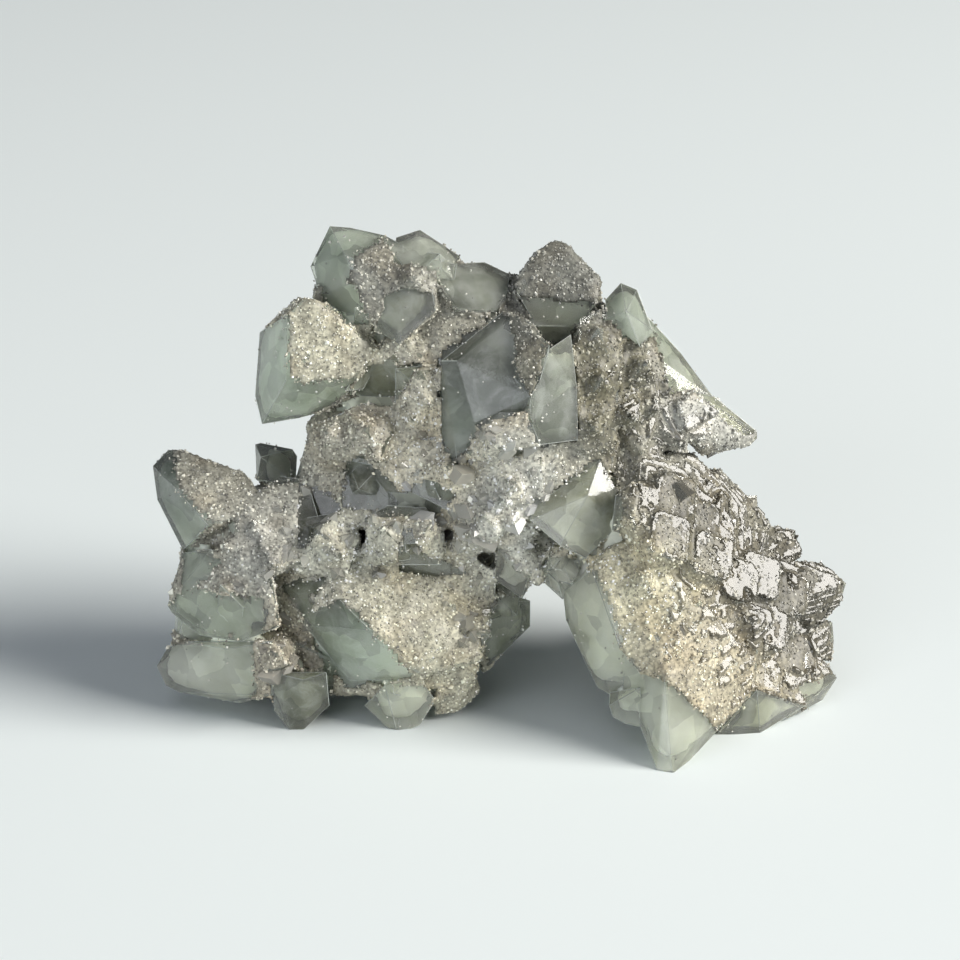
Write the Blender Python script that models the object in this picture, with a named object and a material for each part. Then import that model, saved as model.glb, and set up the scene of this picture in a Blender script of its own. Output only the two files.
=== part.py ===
"""An apophyllite specimen: an arch of intergrown tetragonal crystals standing on its own crystal tips.

The large crystals that the photograph shows are flat-faced blocks, each written as the corners of its faces.
The small ones and those of the back are square prisms with four-sided pyramids at their ends. All are placed as
seen from a raised viewpoint in front of the specimen, in millimetres to the right, up and out towards the eye,
and then joined into one solid.
"""

import math
import random
from collections import namedtuple

import bmesh
import bpy
from mathutils import Matrix, Vector

MM = 0.001

# The viewpoint that the crystals are measured from.
VIEW_TILT = math.radians(20)
EYE_DISTANCE = 400.0

# The plane that the depths are measured from stands on the feet and leans forward from the view's own plane.
LEAN = 0.25
LEAN_FOOT = -32.0

# Apophyllite's pyramid faces lean this far from the prism's end, set by its axial ratio of 1.76.
PYRAMID_ANGLE = math.radians(60.4)

CRYSTAL_COLOUR = (0.42, 0.44, 0.38)
CRYSTAL_ROUGHNESS = 0.25

# The feet are ground off this far below the middle of the view, so that the specimen stands on small flats.
FLOOR_DROP = 25.3

Crystal = namedtuple("Crystal", "name tip axis face half_widths length flat", defaults=(0.0,))
Block = namedtuple("Block", "name corners")

# The large crystals, each with its corners at (right, up, out). The last corners of each lie inside the
# specimen and only root it there.
TOP = [
    Block("left_plate", [
        (-25, 21.5, 9.2), (-23, 23.4, 8.4), (-21, 23.2, 8), (-14.3, 17.6, 7.8), (-14.3, 15.4, 8.2),
        (-16.3, 13.3, 9.1), (-25.2, 13.0, 11), (-28.3, 7.3, 5), (-29.2, 11, 3.5), (-28.6, 19.2, 0.5),
        (-23.4, 8.1, 6), (-17, 9.8, 3), (-12, 14, 0), (-14, 20, 0), (-24, 23.4, 1), (-22, 14, -8),
    ]),
    Block("top_left", [
        (-19.5, 33, -1), (-16.9, 32.8, -1.5), (-12.4, 31.8, -1), (-22, 27.8, -1), (-20.8, 25.5, 1),
        (-17.6, 29.3, 5), (-10, 30.5, 3), (-9.8, 26, 6.5), (-14.4, 21.1, 7.5), (-20.2, 22.5, 2.5),
        (-14, 22, -8), (-10, 26, -9), (-19, 28, -8),
    ]),
    Block("grey_facet", [
        (-13.6, 19.5, 8.5), (-12.4, 24, 7), (-10.4, 25, 7), (-6.2, 24.7, 7), (-5.8, 22, 9),
        (-10.4, 17.6, 10.5), (-8, 20, -4), (-12, 22, -4), (-5, 25, -3),
    ]),
    Block("olive_underside", [
        (-16.9, 11, 4), (-14.3, 15.5, 7), (-7.5, 16, 8), (-11, 10.8, 5.5), (-6, 20, 5), (-12, 19, 6),
        (-10, 14, -6), (-14, 14, -4),
    ]),
    Block("top_ridge", [
        (-10.9, 31.5, 0), (-7.8, 32.5, -1), (-5.2, 30.8, 0), (-2.6, 29, 0), (-11, 29.5, 4), (-5, 27.5, 6),
        (-9.5, 26.8, 7), (-3.5, 26, 5), (-8, 26, -9), (-4, 25, -8),
    ]),
    Block("top_saddle", [
        (-5.8, 28, 3), (0.6, 28.3, 0.5), (3.9, 26.7, 1), (3.3, 23.4, 4), (2, 21.8, 5), (-3.3, 21.8, 7),
        (-5, 25, 6.5), (-2, 24, -8), (3, 24, -7),
    ]),
    Block("coated_band", [
        (-5.5, 22, 6), (2.5, 21, 5), (3, 15, 7), (-5, 13, 8), (-9, 16, 6), (-6, 14, -7), (2, 16, -7),
        (2, 22, -6),
    ]),
    Block("peak", [
        (9.9, 31.1, 1), (7.2, 29.6, 2), (5, 26.6, 4), (4.8, 24.4, 5), (15.3, 23.4, 5), (15.7, 26.1, 3),
        (11.2, 30.8, 1), (15, 22.8, 4.5), (11.7, 18.9, 3), (8.8, 17.6, 3), (9, 29, -5), (6, 24, -8),
        (14, 24, -8),
    ]),
    Block("coated_column", [
        (13, 21, 7.5), (16, 22, 6), (18.5, 20, 6), (18.2, 14, 8.5), (17.5, 4, 11), (13.2, 3.5, 12),
        (12.6, 11, 11), (12.8, 18, 9), (15, 12, -4), (16, 20, -4), (15, 4, -2),
    ]),
    Block("small_green", [
        (16.3, 23.4, 4), (18.3, 25.6, 2), (20.4, 24.7, 3), (22.4, 19.5, 4), (20.8, 17.3, 6), (16.5, 21, 7),
        (19, 22, 8), (18, 20, -3), (20, 18, -2),
    ]),
    Block("shoulder", [
        (19, 23.5, -2), (22, 21, 0), (26, 16.6, 0), (28.5, 13, 1), (30.5, 10.5, 1), (26, 4, 6), (18, 5, 8),
        (17.5, 12, 8), (19, 19, 5), (20, 10, -9), (24, 8, -9),
    ]),
    Block("spike", [
        (36, 6.3, 1), (36, 5.4, 1), (35, 4.4, 1.5), (29, 3.4, 3), (28.6, 4, 5), (26.6, 6.5, 7.5),
        (27.3, 11.7, 5), (30.5, 10.8, 2), (26, 10, 6.5), (26, 6, -6), (28, 10, -5),
    ]),
]
CENTRE = [
    Block("centre_prism", [
        (-5, 15.5, 11), (-3, 15.5, 12.5), (3, 21.8, 9), (4.6, 21.4, 10), (4.4, 13.3, 14), (6.5, 10.8, 15),
        (5.8, 9.1, 15), (-0.7, 7.4, 14.5), (-3.2, 4.6, 13.5), (-5, 2, 11), (-3, 1.9, 13), (-4, 14, -2),
        (4, 20, -2), (5, 5, -2), (-4, 3, -2),
    ]),
    Block("centre_rhomb", [
        (4.7, 21.4, 10.5), (6.5, 20.5, 12), (9, 17.5, 14.5), (8.8, 15.9, 15), (7.8, 13, 16),
        (6.5, 10.8, 16), (4.4, 13.3, 14.5), (7, 17, 2), (5, 13, 2),
    ]),
    Block("centre_right", [
        (9, 17, 14.5), (11.8, 18.9, 11), (12.6, 11.7, 12.5), (6.5, 10.5, 16), (6.5, 8.5, 16),
        (12.7, 5.2, 12.5), (7.8, 4.6, 15), (8, 14, -2), (12, 6, -2),
    ]),
    Block("low_rhomb", [
        (-0.8, 7.4, 14.5), (2.6, 8.8, 15.5), (5.8, 8.7, 16.5), (6.8, 7.2, 17), (7.8, 4.6, 16.5),
        (2.6, 3.9, 17.5), (0, 6.5, 16), (3, 5, 8), (6, 5, 8),
    ]),
    Block("hollow_clear", [
        (7.2, -3.3, 13), (15.6, 2.6, 11), (18.5, -2.6, 11.5), (18, -5.9, 12.5), (13.7, -10.1, 14),
        (10.4, -8.5, 15), (6.5, -5.2, 14), (14, -2, 14.5), (12, -3, -2), (14, -8, 0),
    ]),
    Block("beige_field", [
        (-22, 7, 6), (-15, 10, 7), (-8, 9, 8), (-5, 4, 10), (-10, 1, 10), (-19, 3, 8), (-23, 3.5, 5),
        (-24, 0, 4), (-16, 5, -6), (-20, 0, -6),
    ]),
    Block("cream_field", [
        (-9, 5, 10), (-4, 6, 11), (2, 3, 12), (3, -2, 12), (-4, -4, 12), (-10, -1, 11), (-4, 0, -6),
    ]),
    Block("silver_field", [
        (1, 3, 12.5), (8, 3, 13), (8, -4, 13), (6, -9, 12), (0, -8, 12), (-2, -3, 12.5), (3, -3, -6),
        (8, -6, -4),
    ]),
    Block("knobs", [
        (-11, 14.5, 8), (-6, 15, 8.5), (-5, 10, 10.5), (-6, 6.5, 10), (-11, 8, 8), (-8, 10, -4),
    ]),
    Block("lavender_field", [
        (-25, -9, 11), (-23, -5, 9), (-17, -4, 9), (-15.6, -8, 11), (-17, -12, 12), (-24, -12, 11),
        (-20, -8, -4),
    ]),
    Block("coated_arch", [
        (-15, -5, 11.5), (-12, -3.3, 11), (-7, -3.6, 11), (-4.6, -7, 12), (-5, -11, 11), (-14.5, -11, 12),
        (-10, -8, -4),
    ]),
    Block("lower_knob", [
        (-2.6, -3, 13), (2, -4, 13), (2, -8, 13), (-2, -9, 12.5), (-4, -12, 9), (0, -6, 0),
    ]),
    Block("rhomb_tip", [
        (2.2, -9.1, 11), (6.1, -13, 12), (5.5, -15.4, 10), (8, -11, 11), (5, -8, 12), (2, -13, 9),
        (5, -10, 0),
    ]),
    Block("drops", [
        (8.5, -10.5, 12), (13, -10.5, 13), (13.5, -14, 12), (10.7, -15.5, 11), (8.5, -13.5, 11),
        (11, -10, 0),
    ]),
]
RIGHT = [
    Block("right_crest", [
        (27.5, 3.5, 3), (30.2, 0.7, 3), (32.2, -1.7, 4), (22, 1, 11), (20.5, 3, 9), (20, -6, 15),
        (27, -10, 15), (33, -8, 9), (24, -4, -8), (30, -6, -7),
    ]),
    Block("white_spur", [
        (33.3, -2.2, 1), (36, -2, 0), (35.8, -5.2, 1), (34, -6, 3), (32, -6, -4),
    ]),
    Block("right_lobe", [
        (38.4, -6.1, -3), (41, -6.8, -3), (41.7, -9.9, -3), (38, -12, 0), (35, -8, 2), (36, -10, -8),
    ]),
    Block("right_tip", [
        (44.2, -10.8, -2), (47.6, -13.4, -1), (46.8, -15.9, -1), (44, -19, 0), (38, -10.5, 4), (37, -17, 7),
        (38, -14, -9), (40, -18, -8),
    ]),
    Block("right_low_lobe", [
        (45.8, -18.5, -3), (46, -21, -3), (45.5, -23.4, -3), (38, -17, 4), (38, -24, 5), (38, -20, -10),
    ]),
    Block("low_right", [
        (46.4, -25.7, 4), (44.5, -28.6, 5), (42.6, -29.3, 7), (37, -22, 9), (36, -28, 12), (44, -23, 2),
        (40, -31, 10), (36, -24, -6),
    ]),
    Block("back_bottom", [
        (30.6, -33.2, 14), (33, -33.2, 14), (36.4, -32.9, 13.5), (36, -27.3, 15.5), (42.3, -29.3, 8),
        (34, -26, 0), (40, -27, 0),
    ]),
    Block("right_knuckle", [
        (31.9, -18.2, 13.5), (36, -23.7, 13), (41.6, -19.5, 6), (40.3, -15.6, 5), (33.8, -15.6, 11),
        (35.5, -18, 13.5), (34, -18, -2),
    ]),
    Block("right_body", [
        (25, -10, 16), (33, -9, 9), (36, -12, 7), (33, -16, 12), (36, -24, 12), (28, -24, 17),
        (24, -20, 18), (29, -14, 16), (26, -16, -8), (34, -18, -8),
    ]),
    Block("leg_clear", [
        (10.8, -14.5, 11), (11.2, -18.2, 12), (12.7, -21.5, 13), (15.3, -27, 15), (17, -27.9, 16),
        (20.8, -25, 19), (20, -20, 19.5), (16.3, -16.3, 18.5), (14.5, -11.7, 17), (17, -8.5, 15),
        (16, -14, 0), (18, -20, 2), (14, -20, 4),
    ]),
    Block("leg_golden", [
        (14.6, -11.7, 17.5), (17, -8.5, 15.5), (20.8, -7.8, 15.5), (22.8, -11.7, 17.5), (27.3, -15.6, 18.5),
        (25.4, -18.2, 20), (23.4, -20.8, 21), (20.8, -25, 21), (18.2, -22, 20.5), (16.3, -15.6, 19),
        (20, -14, 4),
    ]),
    Block("front_foot", [
        (28.6, -15.6, 18), (32.5, -20.8, 17), (36, -24, 14.5), (35.8, -27.3, 15), (31.2, -31.2, 18),
        (27.3, -28.6, 22), (24, -26, 23), (23.4, -22, 21.5), (22.4, -34.5, 23.6), (23, -37.6, 25),
        (25, -38.2, 25.8), (27.3, -36.4, 24.2), (20.8, -31.9, 21), (20.5, -27, 20), (26, -22, 6),
        (32, -25, 6), (24, -30, 12),
    ]),
    Block("foot_nub", [
        (16.9, -27.6, 17), (16.8, -29.3, 18), (17.3, -30.8, 18.5), (19, -31.7, 19), (21.5, -32.2, 20),
        (20.8, -27, 21), (20, -26, 12),
    ]),
]
LEFT = [
    Block("left_horn", [
        (-42.5, 1.8, 0), (-40.5, 3.9, 0), (-39, 3.9, 1), (-30.6, 0.9, 3), (-28.3, -2.2, 7),
        (-32.5, -5.2, 9), (-35.4, -5.9, 9), (-39.7, -1, 6), (-41.9, -2.6, 2), (-38.6, -9.1, 3),
        (-34, -2, -8), (-38, 0, -6), (-34, -8, -6),
    ]),
    Block("dark_stub", [
        (-29.2, 4.6, -2), (-28.5, 4.8, -2.5), (-24.4, 4, -2), (-23.8, 3.1, -1.5), (-24, -0.5, 2),
        (-29, 0, 3), (-28.5, 3, 2), (-26, -2, -8), (-25, -3, 0),
    ]),
    Block("left_coated", [
        (-30, -3, 8), (-26, 0.5, 5), (-22.5, 0, 6), (-21, -5, 9), (-23, -11, 12), (-31, -11, 12),
        (-32, -6, 10), (-26, -5, -6),
    ]),
    Block("left_mid", [
        (-38.7, -9.5, 4), (-39.2, -14, 6), (-40.6, -16.3, 7), (-40, -17.3, 7.5), (-36.4, -20.2, 10),
        (-31, -21, 13), (-26, -19, 15), (-27, -13, 14), (-35, -9, 9), (-30, -10, 12), (-30, -14, -8),
        (-36, -14, -5),
    ]),
    Block("left_low", [
        (-42, -24.2, 5), (-40.6, -21.8, 5), (-40.8, -26.7, 6), (-39, -27.6, 7), (-31.2, -29, 9),
        (-27, -28, 13), (-27, -21, 15), (-33, -22, 12.5), (-38, -21, 8), (-32, -24, -6), (-36, -24, -4),
    ]),
    Block("left_foot", [
        (-26.7, -30, 12), (-24.7, -32.6, 12.5), (-22.9, -32.4, 12.5), (-19.6, -29.3, 12), (-20, -25, 14),
        (-27, -25, 14), (-23, -26, 15.5), (-24, -24, 2), (-21, -28, 6),
    ]),
    Block("big_plate", [
        (-25.6, -13.7, 9), (-20.2, -12.7, 11), (-17.6, -11.7, 10), (-10.4, -11.7, 10), (-5.2, -13, 9.5),
        (0, -19.5, 12), (0.4, -23.4, 13.5), (-7.8, -25, 16), (-11, -23.4, 17), (-14.3, -19.5, 17),
        (-18.2, -15.6, 14.5), (-22.8, -18.9, 13), (-17, -26, 12), (-9, -26, 14), (-16, -16, -6),
        (-6, -18, -6), (-10, -24, 0),
    ]),
    Block("second_slab", [
        (-3.9, -14.3, 9.5), (3, -17.5, 7), (0, -18.9, 11), (-1, -14, 6), (-2, -16, -4), (2, -18, 0),
    ]),
    Block("middle_foot", [
        (-15, -29.3, 11), (-12.4, -26.7, 14), (-7.8, -26, 14), (-5.8, -28.6, 12), (-7.8, -31.8, 12),
        (-10.7, -33, 12.5), (-12.4, -31.8, 12), (-10, -24, 4),
    ]),
    Block("olive_corner", [
        (-6, -26, 12), (-2.6, -30, 9), (-5.8, -30.6, 10), (0, -27.3, 8), (-1, -25, 11), (-4, -24, -2),
    ]),
    Block("arch_side", [
        (1, -14, 6), (6.5, -15.7, 5), (6.5, -19, 5), (3.2, -21.6, 6), (0.5, -25, 6), (-1, -22, 8),
        (0, -16, 8), (2, -16, -6), (0, -22, -6),
    ]),
]

# What joins the large crystals where the photograph shows one mass between them.
BETWEEN = [
    Block("left_base", [
        (-36, -19, 4), (-26, -20, 11), (-16, -25, 11), (-12, -28, 11), (-20, -28, 9), (-30, -27.5, 7),
        (-36, -25, 4), (-20, -20, -6), (-30, -20, -6),
    ]),
    Block("left_side", [
        (-38.5, -7, 2), (-38.5, -18, 6), (-40, -22, 5), (-30, -4, 6), (-28, -22, 10), (-34, -8, -5),
        (-36, -20, -4),
    ]),
    Block("middle_fill", [
        (-22, 3, 5), (-12, 1.5, 8), (-7, -3, 9.5), (-12, -6, 10), (-22, -6, 8), (-26, -3, 3), (-16, -2, -8),
        (-24, -6, -6),
    ]),
    Block("lower_fill", [
        (-24, -9, 9), (-14, -10, 10), (-4, -8, 10), (2, -12, 9), (2, -16, 8), (-22, -14, 9), (-10, -10, -8),
        (-20, -12, -8),
    ]),
    Block("hip", [
        (18, 4, 8), (23, 4, 7), (22, -8, 13), (15, -9.5, 12), (17, -2, 10.5), (14, -12, 9), (20, 0, -8),
        (20, -10, -6),
    ]),
    Block("right_side", [
        (34, -7, 3), (39, -11, 0), (41, -18, 0), (40, -26, 3), (34, -27, 8), (33, -12, 9), (34, -16, -9),
        (36, -24, -5),
    ]),
    Block("top_fill", [
        (-15, 28.5, 3), (-8, 29, 3.5), (-3, 28, 4), (-4, 22, 6), (-12, 22, 5.5), (-16, 22, 4), (-8, 25, -8),
        (-14, 20, -8),
    ]),
    Block("saddle_fill", [
        (2, 26.6, 0), (6, 26.6, 1), (6, 22, 3.5), (2, 20, 5), (12, 21, 3), (17, 22.5, 1), (18, 20, 3),
        (6, 20, -8), (14, 20, -8),
    ]),
    Block("centre_root", [
        (5.5, 5.2, 12.5), (12.5, 6.2, 11.3), (18, 5, 10), (17.2, 2.2, 10.3), (13.5, 0, 11.2), (7.5, 0.5, 12.2),
        (8, -4, 11.2), (13, -4, 10.6), (8, 3, -4), (15, 3, -4),
    ]),
    Block("middle_root", [
        (-9, 1.5, 9.5), (1, 1.5, 10.5), (1, -6, 10.5), (-8, -6.5, 9.5), (-4, -2, -4),
    ]),
    Block("leg_fill", [
        (19.5, -16, 18.5), (26, -16, 18.5), (27, -28, 20), (18.5, -28, 17.5), (21, -30, 19), (22, -20, 0),
        (24, -26, 6),
    ]),
    Block("foot_root", [
        (-14, -25, 12), (-5, -25, 12.5), (0, -24, 10), (-2, -28, 8.5), (-14, -28.5, 10), (-6, -24, -2),
    ]),
]

# Smaller crystals and those of the back. Each tip is (right, up, out), axis points from the root to the tip,
# and face is the way that a prism face looks.
# The blocks of the right body have grown parallel, each cut flat below its tip.
PARALLEL = (0.485, 0.263, 0.835)
SMALL = [
    Crystal("bright_a", (23, 9, 9), (0.4, -0.3, 0.87), (0.3, 0.9, 0.2), (3, 3), 12),
    Crystal("bright_b", (21, 3.2, 10), (0.2, -0.7, 0.68), (-0.6, 0.5, 0.6), (3, 3), 12),
    Crystal("bright_c", (26.5, 4, 7.5), (0.4, -0.75, 0.5), (0.6, 0.6, 0.5), (2.4, 2.4), 10),
    Crystal("ridge_prism", (-5.2, 29.4, 6.5), (0.3, 0.5, 0.8), (-0.5, 0.8, -0.3), (1.8, 1.8), 8),
    Crystal("ridge_cube", (-9, 26.2, 8.6), (-0.2, 0.1, 0.97), (0.7, 0.7, 0), (2.2, 1.8), 8, 0.6),
    Crystal("left_nub", (-16.2, 22.4, 7.4), (-0.4, 0.3, 0.87), (0.7, 0.7, 0), (1.6, 1.6), 7),
    Crystal("under_left", (-17.5, 11.6, 8.6), (-0.3, -0.5, 0.8), (0.8, -0.4, 0), (1.7, 1.7), 8),
    Crystal("knob_a", (-7.8, 14.2, 11.6), (-0.1, 0.4, 0.9), (0.7, 0.7, 0), (1.5, 1.5), 7),
    Crystal("knob_b", (-9.9, 11.2, 11), (-0.5, 0, 0.87), (0.4, 0.9, 0), (1.6, 1.6), 7),
    Crystal("knob_c", (-6.6, 10.2, 12.4), (0.3, -0.2, 0.92), (0.8, 0.5, 0), (1.7, 1.7), 7),
    Crystal("knob_d", (-8.8, 7.6, 12.2), (-0.2, -0.4, 0.9), (0.6, 0.8, 0), (1.5, 1.5), 7),
    Crystal("icy_a", (1, 4.6, 16.6), (-0.2, 0.2, 0.95), (0.6, 0.8, 0), (1.5, 1.5), 7),
    Crystal("icy_b", (-1.8, 3.6, 15.2), (-0.5, -0.2, 0.85), (0.9, 0.3, 0), (1.3, 1.3), 7),
    Crystal("icy_c", (-15.8, -1.2, 11.4), (-0.2, -0.3, 0.93), (0.7, 0.7, 0), (2, 2), 8),
    Crystal("dark_a", (-13.2, 2.2, 12.2), (0.1, -0.7, 0.7), (0.7, 0.5, 0.4), (2.6, 2.6), 10),
    Crystal("dark_b", (-9.4, -1.8, 11.8), (0.4, -0.6, 0.7), (0.7, 0.7, 0), (2.2, 2.2), 9),
    Crystal("dark_c", (-5.2, -2.6, 13), (0.2, -0.7, 0.7), (0.8, 0.5, 0), (2, 2.4), 9),
    Crystal("beige_tip", (-20, 6.2, 10.6), (-0.3, 0.2, 0.93), (0.5, 0.85, 0), (3, 2.6), 9),
    Crystal("beige_ridge", (-14.8, 6.8, 12.4), (0.1, 0.2, 0.97), (0.8, 0.6, 0), (3.2, 3.2), 10),
    Crystal("cream_ridge", (-4.2, 1.8, 15.2), (-0.1, 0.2, 0.97), (0.3, 0.95, 0), (3.4, 2.8), 10),
    Crystal("silver_ridge", (4.6, -0.2, 16.2), (0.2, 0.3, 0.93), (0.6, 0.8, 0), (3, 3), 10),
    Crystal("silver_low", (4.4, -5.8, 15.4), (0, -0.3, 0.95), (0.9, 0.4, 0), (2.8, 2.4), 9),
    Crystal("lavender_a", (0.4, -4.4, 15.6), (-0.2, 0.4, 0.9), (0.7, 0.7, 0), (2, 2), 8),
    Crystal("lavender_b", (-2, -7.2, 15), (-0.4, -0.1, 0.9), (0.3, 0.9, 0), (1.8, 1.8), 8),
    Crystal("lavender_c", (-21.6, -6.2, 13.4), (-0.3, 0.3, 0.9), (0.5, 0.8, 0), (3, 3), 10),
    Crystal("lavender_d", (-18, -9.8, 13.8), (0.3, -0.2, 0.93), (0.8, 0.5, 0), (2.2, 2.2), 9),
    Crystal("arch_left", (-12.8, -6, 14.2), (-0.3, 0.5, 0.8), (0.6, 0.8, 0), (2, 2.4), 9),
    Crystal("arch_right", (-6.4, -5.4, 14.6), (0.5, 0.4, 0.77), (0.4, 0.9, 0), (2, 2.6), 9),
    Crystal("arch_low", (-9.6, -9.4, 14.4), (0, -0.5, 0.87), (0.9, 0.3, 0), (2.4, 1.6), 9),
    Crystal("drop_a", (9.4, -11.4, 14.8), (-0.3, -0.3, 0.9), (0.7, 0.7, 0), (1.5, 1.5), 8),
    Crystal("drop_b", (12, -13.6, 15), (0.2, -0.6, 0.78), (0.8, 0.5, 0), (1.4, 1.4), 8),
    Crystal("drop_c", (7.4, -13.8, 13.4), (0, -0.7, 0.7), (0.5, 0.8, 0), (1.3, 1.3), 8),
    Crystal("drop_d", (10.6, -15.2, 13.2), (0.1, -0.9, 0.4), (0.8, 0.5, 0), (1.2, 1.2), 8),
    Crystal("horn_shard", (-29.6, -5.2, 10.8), (-0.4, 0.7, 0.6), (0.8, 0.3, 0), (1.4, 2), 9),
    Crystal("left_knot", (-33.4, -8.4, 11.6), (-0.5, 0.2, 0.84), (0.6, 0.8, 0), (2.2, 2.2), 9),
    Crystal("left_bead", (-27, -11.2, 15), (0.1, -0.3, 0.95), (0.7, 0.7, 0), (2.2, 2.2), 9),
    Crystal("left_shelf", (-33.8, -13.6, 13.2), (-0.4, 0.5, 0.77), (0.5, 0.6, 0), (2.6, 2.6), 10),
    Crystal("brown_patch", (-26.4, -22.6, 17), (0.1, 0.2, 0.97), (0.5, 0.8, 0), (2.8, 2.4), 9),
    Crystal("plate_ledge", (-3.2, -16.2, 12.4), (0.4, 0.6, 0.7), (0.6, 0.6, 0), (2.4, 2.2), 10),
    Crystal("plate_step", (1.4, -20, 13.4), (0.6, 0.1, 0.8), (0.2, 0.9, 0), (2.2, 2.4), 10),
    Crystal("foot_bead", (-11.2, -27.8, 15), (-0.2, -0.4, 0.9), (0.8, 0.5, 0), (1.8, 1.8), 8),
    Crystal("arch_dark", (4.8, -17.6, 9), (0.4, -0.4, 0.8), (0.6, 0.7, 0), (2.4, 2.4), 9),
    Crystal("leg_notch", (21.6, -12.4, 20.4), (0.2, 0.4, 0.9), (0.7, 0.6, 0), (2.2, 2.2), 9),
    Crystal("crest_a", (28.1, -0.7, 16.9), PARALLEL, (0.8, 0.5, 0), (3.4, 3.0), 13, 4.5),
    Crystal("crest_b", (24.5, -2.5, 19.5), PARALLEL, (0.8, 0.5, 0), (3.0, 3.4), 13, 4.5),
    Crystal("crest_c", (31.2, -4.1, 16.2), PARALLEL, (0.8, 0.5, 0), (3.2, 2.8), 13, 4.5),
    Crystal("body_a", (27.3, -6.1, 20.9), PARALLEL, (0.8, 0.5, 0), (3.4, 3.4), 13, 4.5),
    Crystal("body_b", (32.9, -8.7, 18.3), PARALLEL, (0.8, 0.5, 0), (3.6, 3.2), 13, 4.5),
    Crystal("body_c", (39.1, -11.3, 12.3), PARALLEL, (0.8, 0.5, 0), (3.3, 3.3), 13, 4.5),
    Crystal("body_d", (36.3, -11.9, 15.7), PARALLEL, (0.8, 0.5, 0), (2.9, 2.9), 13, 4.5),
    Crystal("body_e", (43.1, -13.6, 9.5), PARALLEL, (0.8, 0.5, 0), (3.2, 2.9), 13, 4.5),
    Crystal("body_f", (40.1, -18.1, 13.9), PARALLEL, (0.8, 0.5, 0), (3.4, 3.2), 13, 4.5),
    Crystal("body_g", (44.1, -21.6, 9.7), PARALLEL, (0.8, 0.5, 0), (2.9, 3.2), 13, 4.5),
    Crystal("body_h", (39.3, -24.7, 15.5), PARALLEL, (0.8, 0.5, 0), (3.0, 3.0), 13, 4.5),
    Crystal("column_top", (15.4, 19.8, 9.4), (0.1, 0.5, 0.85), (0.7, 0.6, 0), (2.4, 2.4), 9),
    Crystal("column_middle", (15.8, 13.4, 12), (0.2, 0.2, 0.95), (0.4, 0.9, 0), (2.8, 3.2), 9),
    Crystal("column_low", (14.8, 6.6, 13.8), (0, -0.2, 0.97), (0.6, 0.8, 0), (2.6, 3), 9),
    Crystal("shoulder_a", (21.6, 15.4, 8), (0.3, 0.4, 0.87), (0.6, 0.7, 0), (2.4, 2.4), 9),
    Crystal("shoulder_b", (25.4, 13, 5.8), (0.5, 0.3, 0.8), (0.3, 0.9, 0), (2.2, 2.2), 8),
    Crystal("shoulder_c", (19.6, 8.2, 11.6), (0.1, -0.2, 0.97), (0.7, 0.7, 0), (2.2, 2.2), 8),
]
DOWN = (0, -math.cos(VIEW_TILT), -math.sin(VIEW_TILT))
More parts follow.
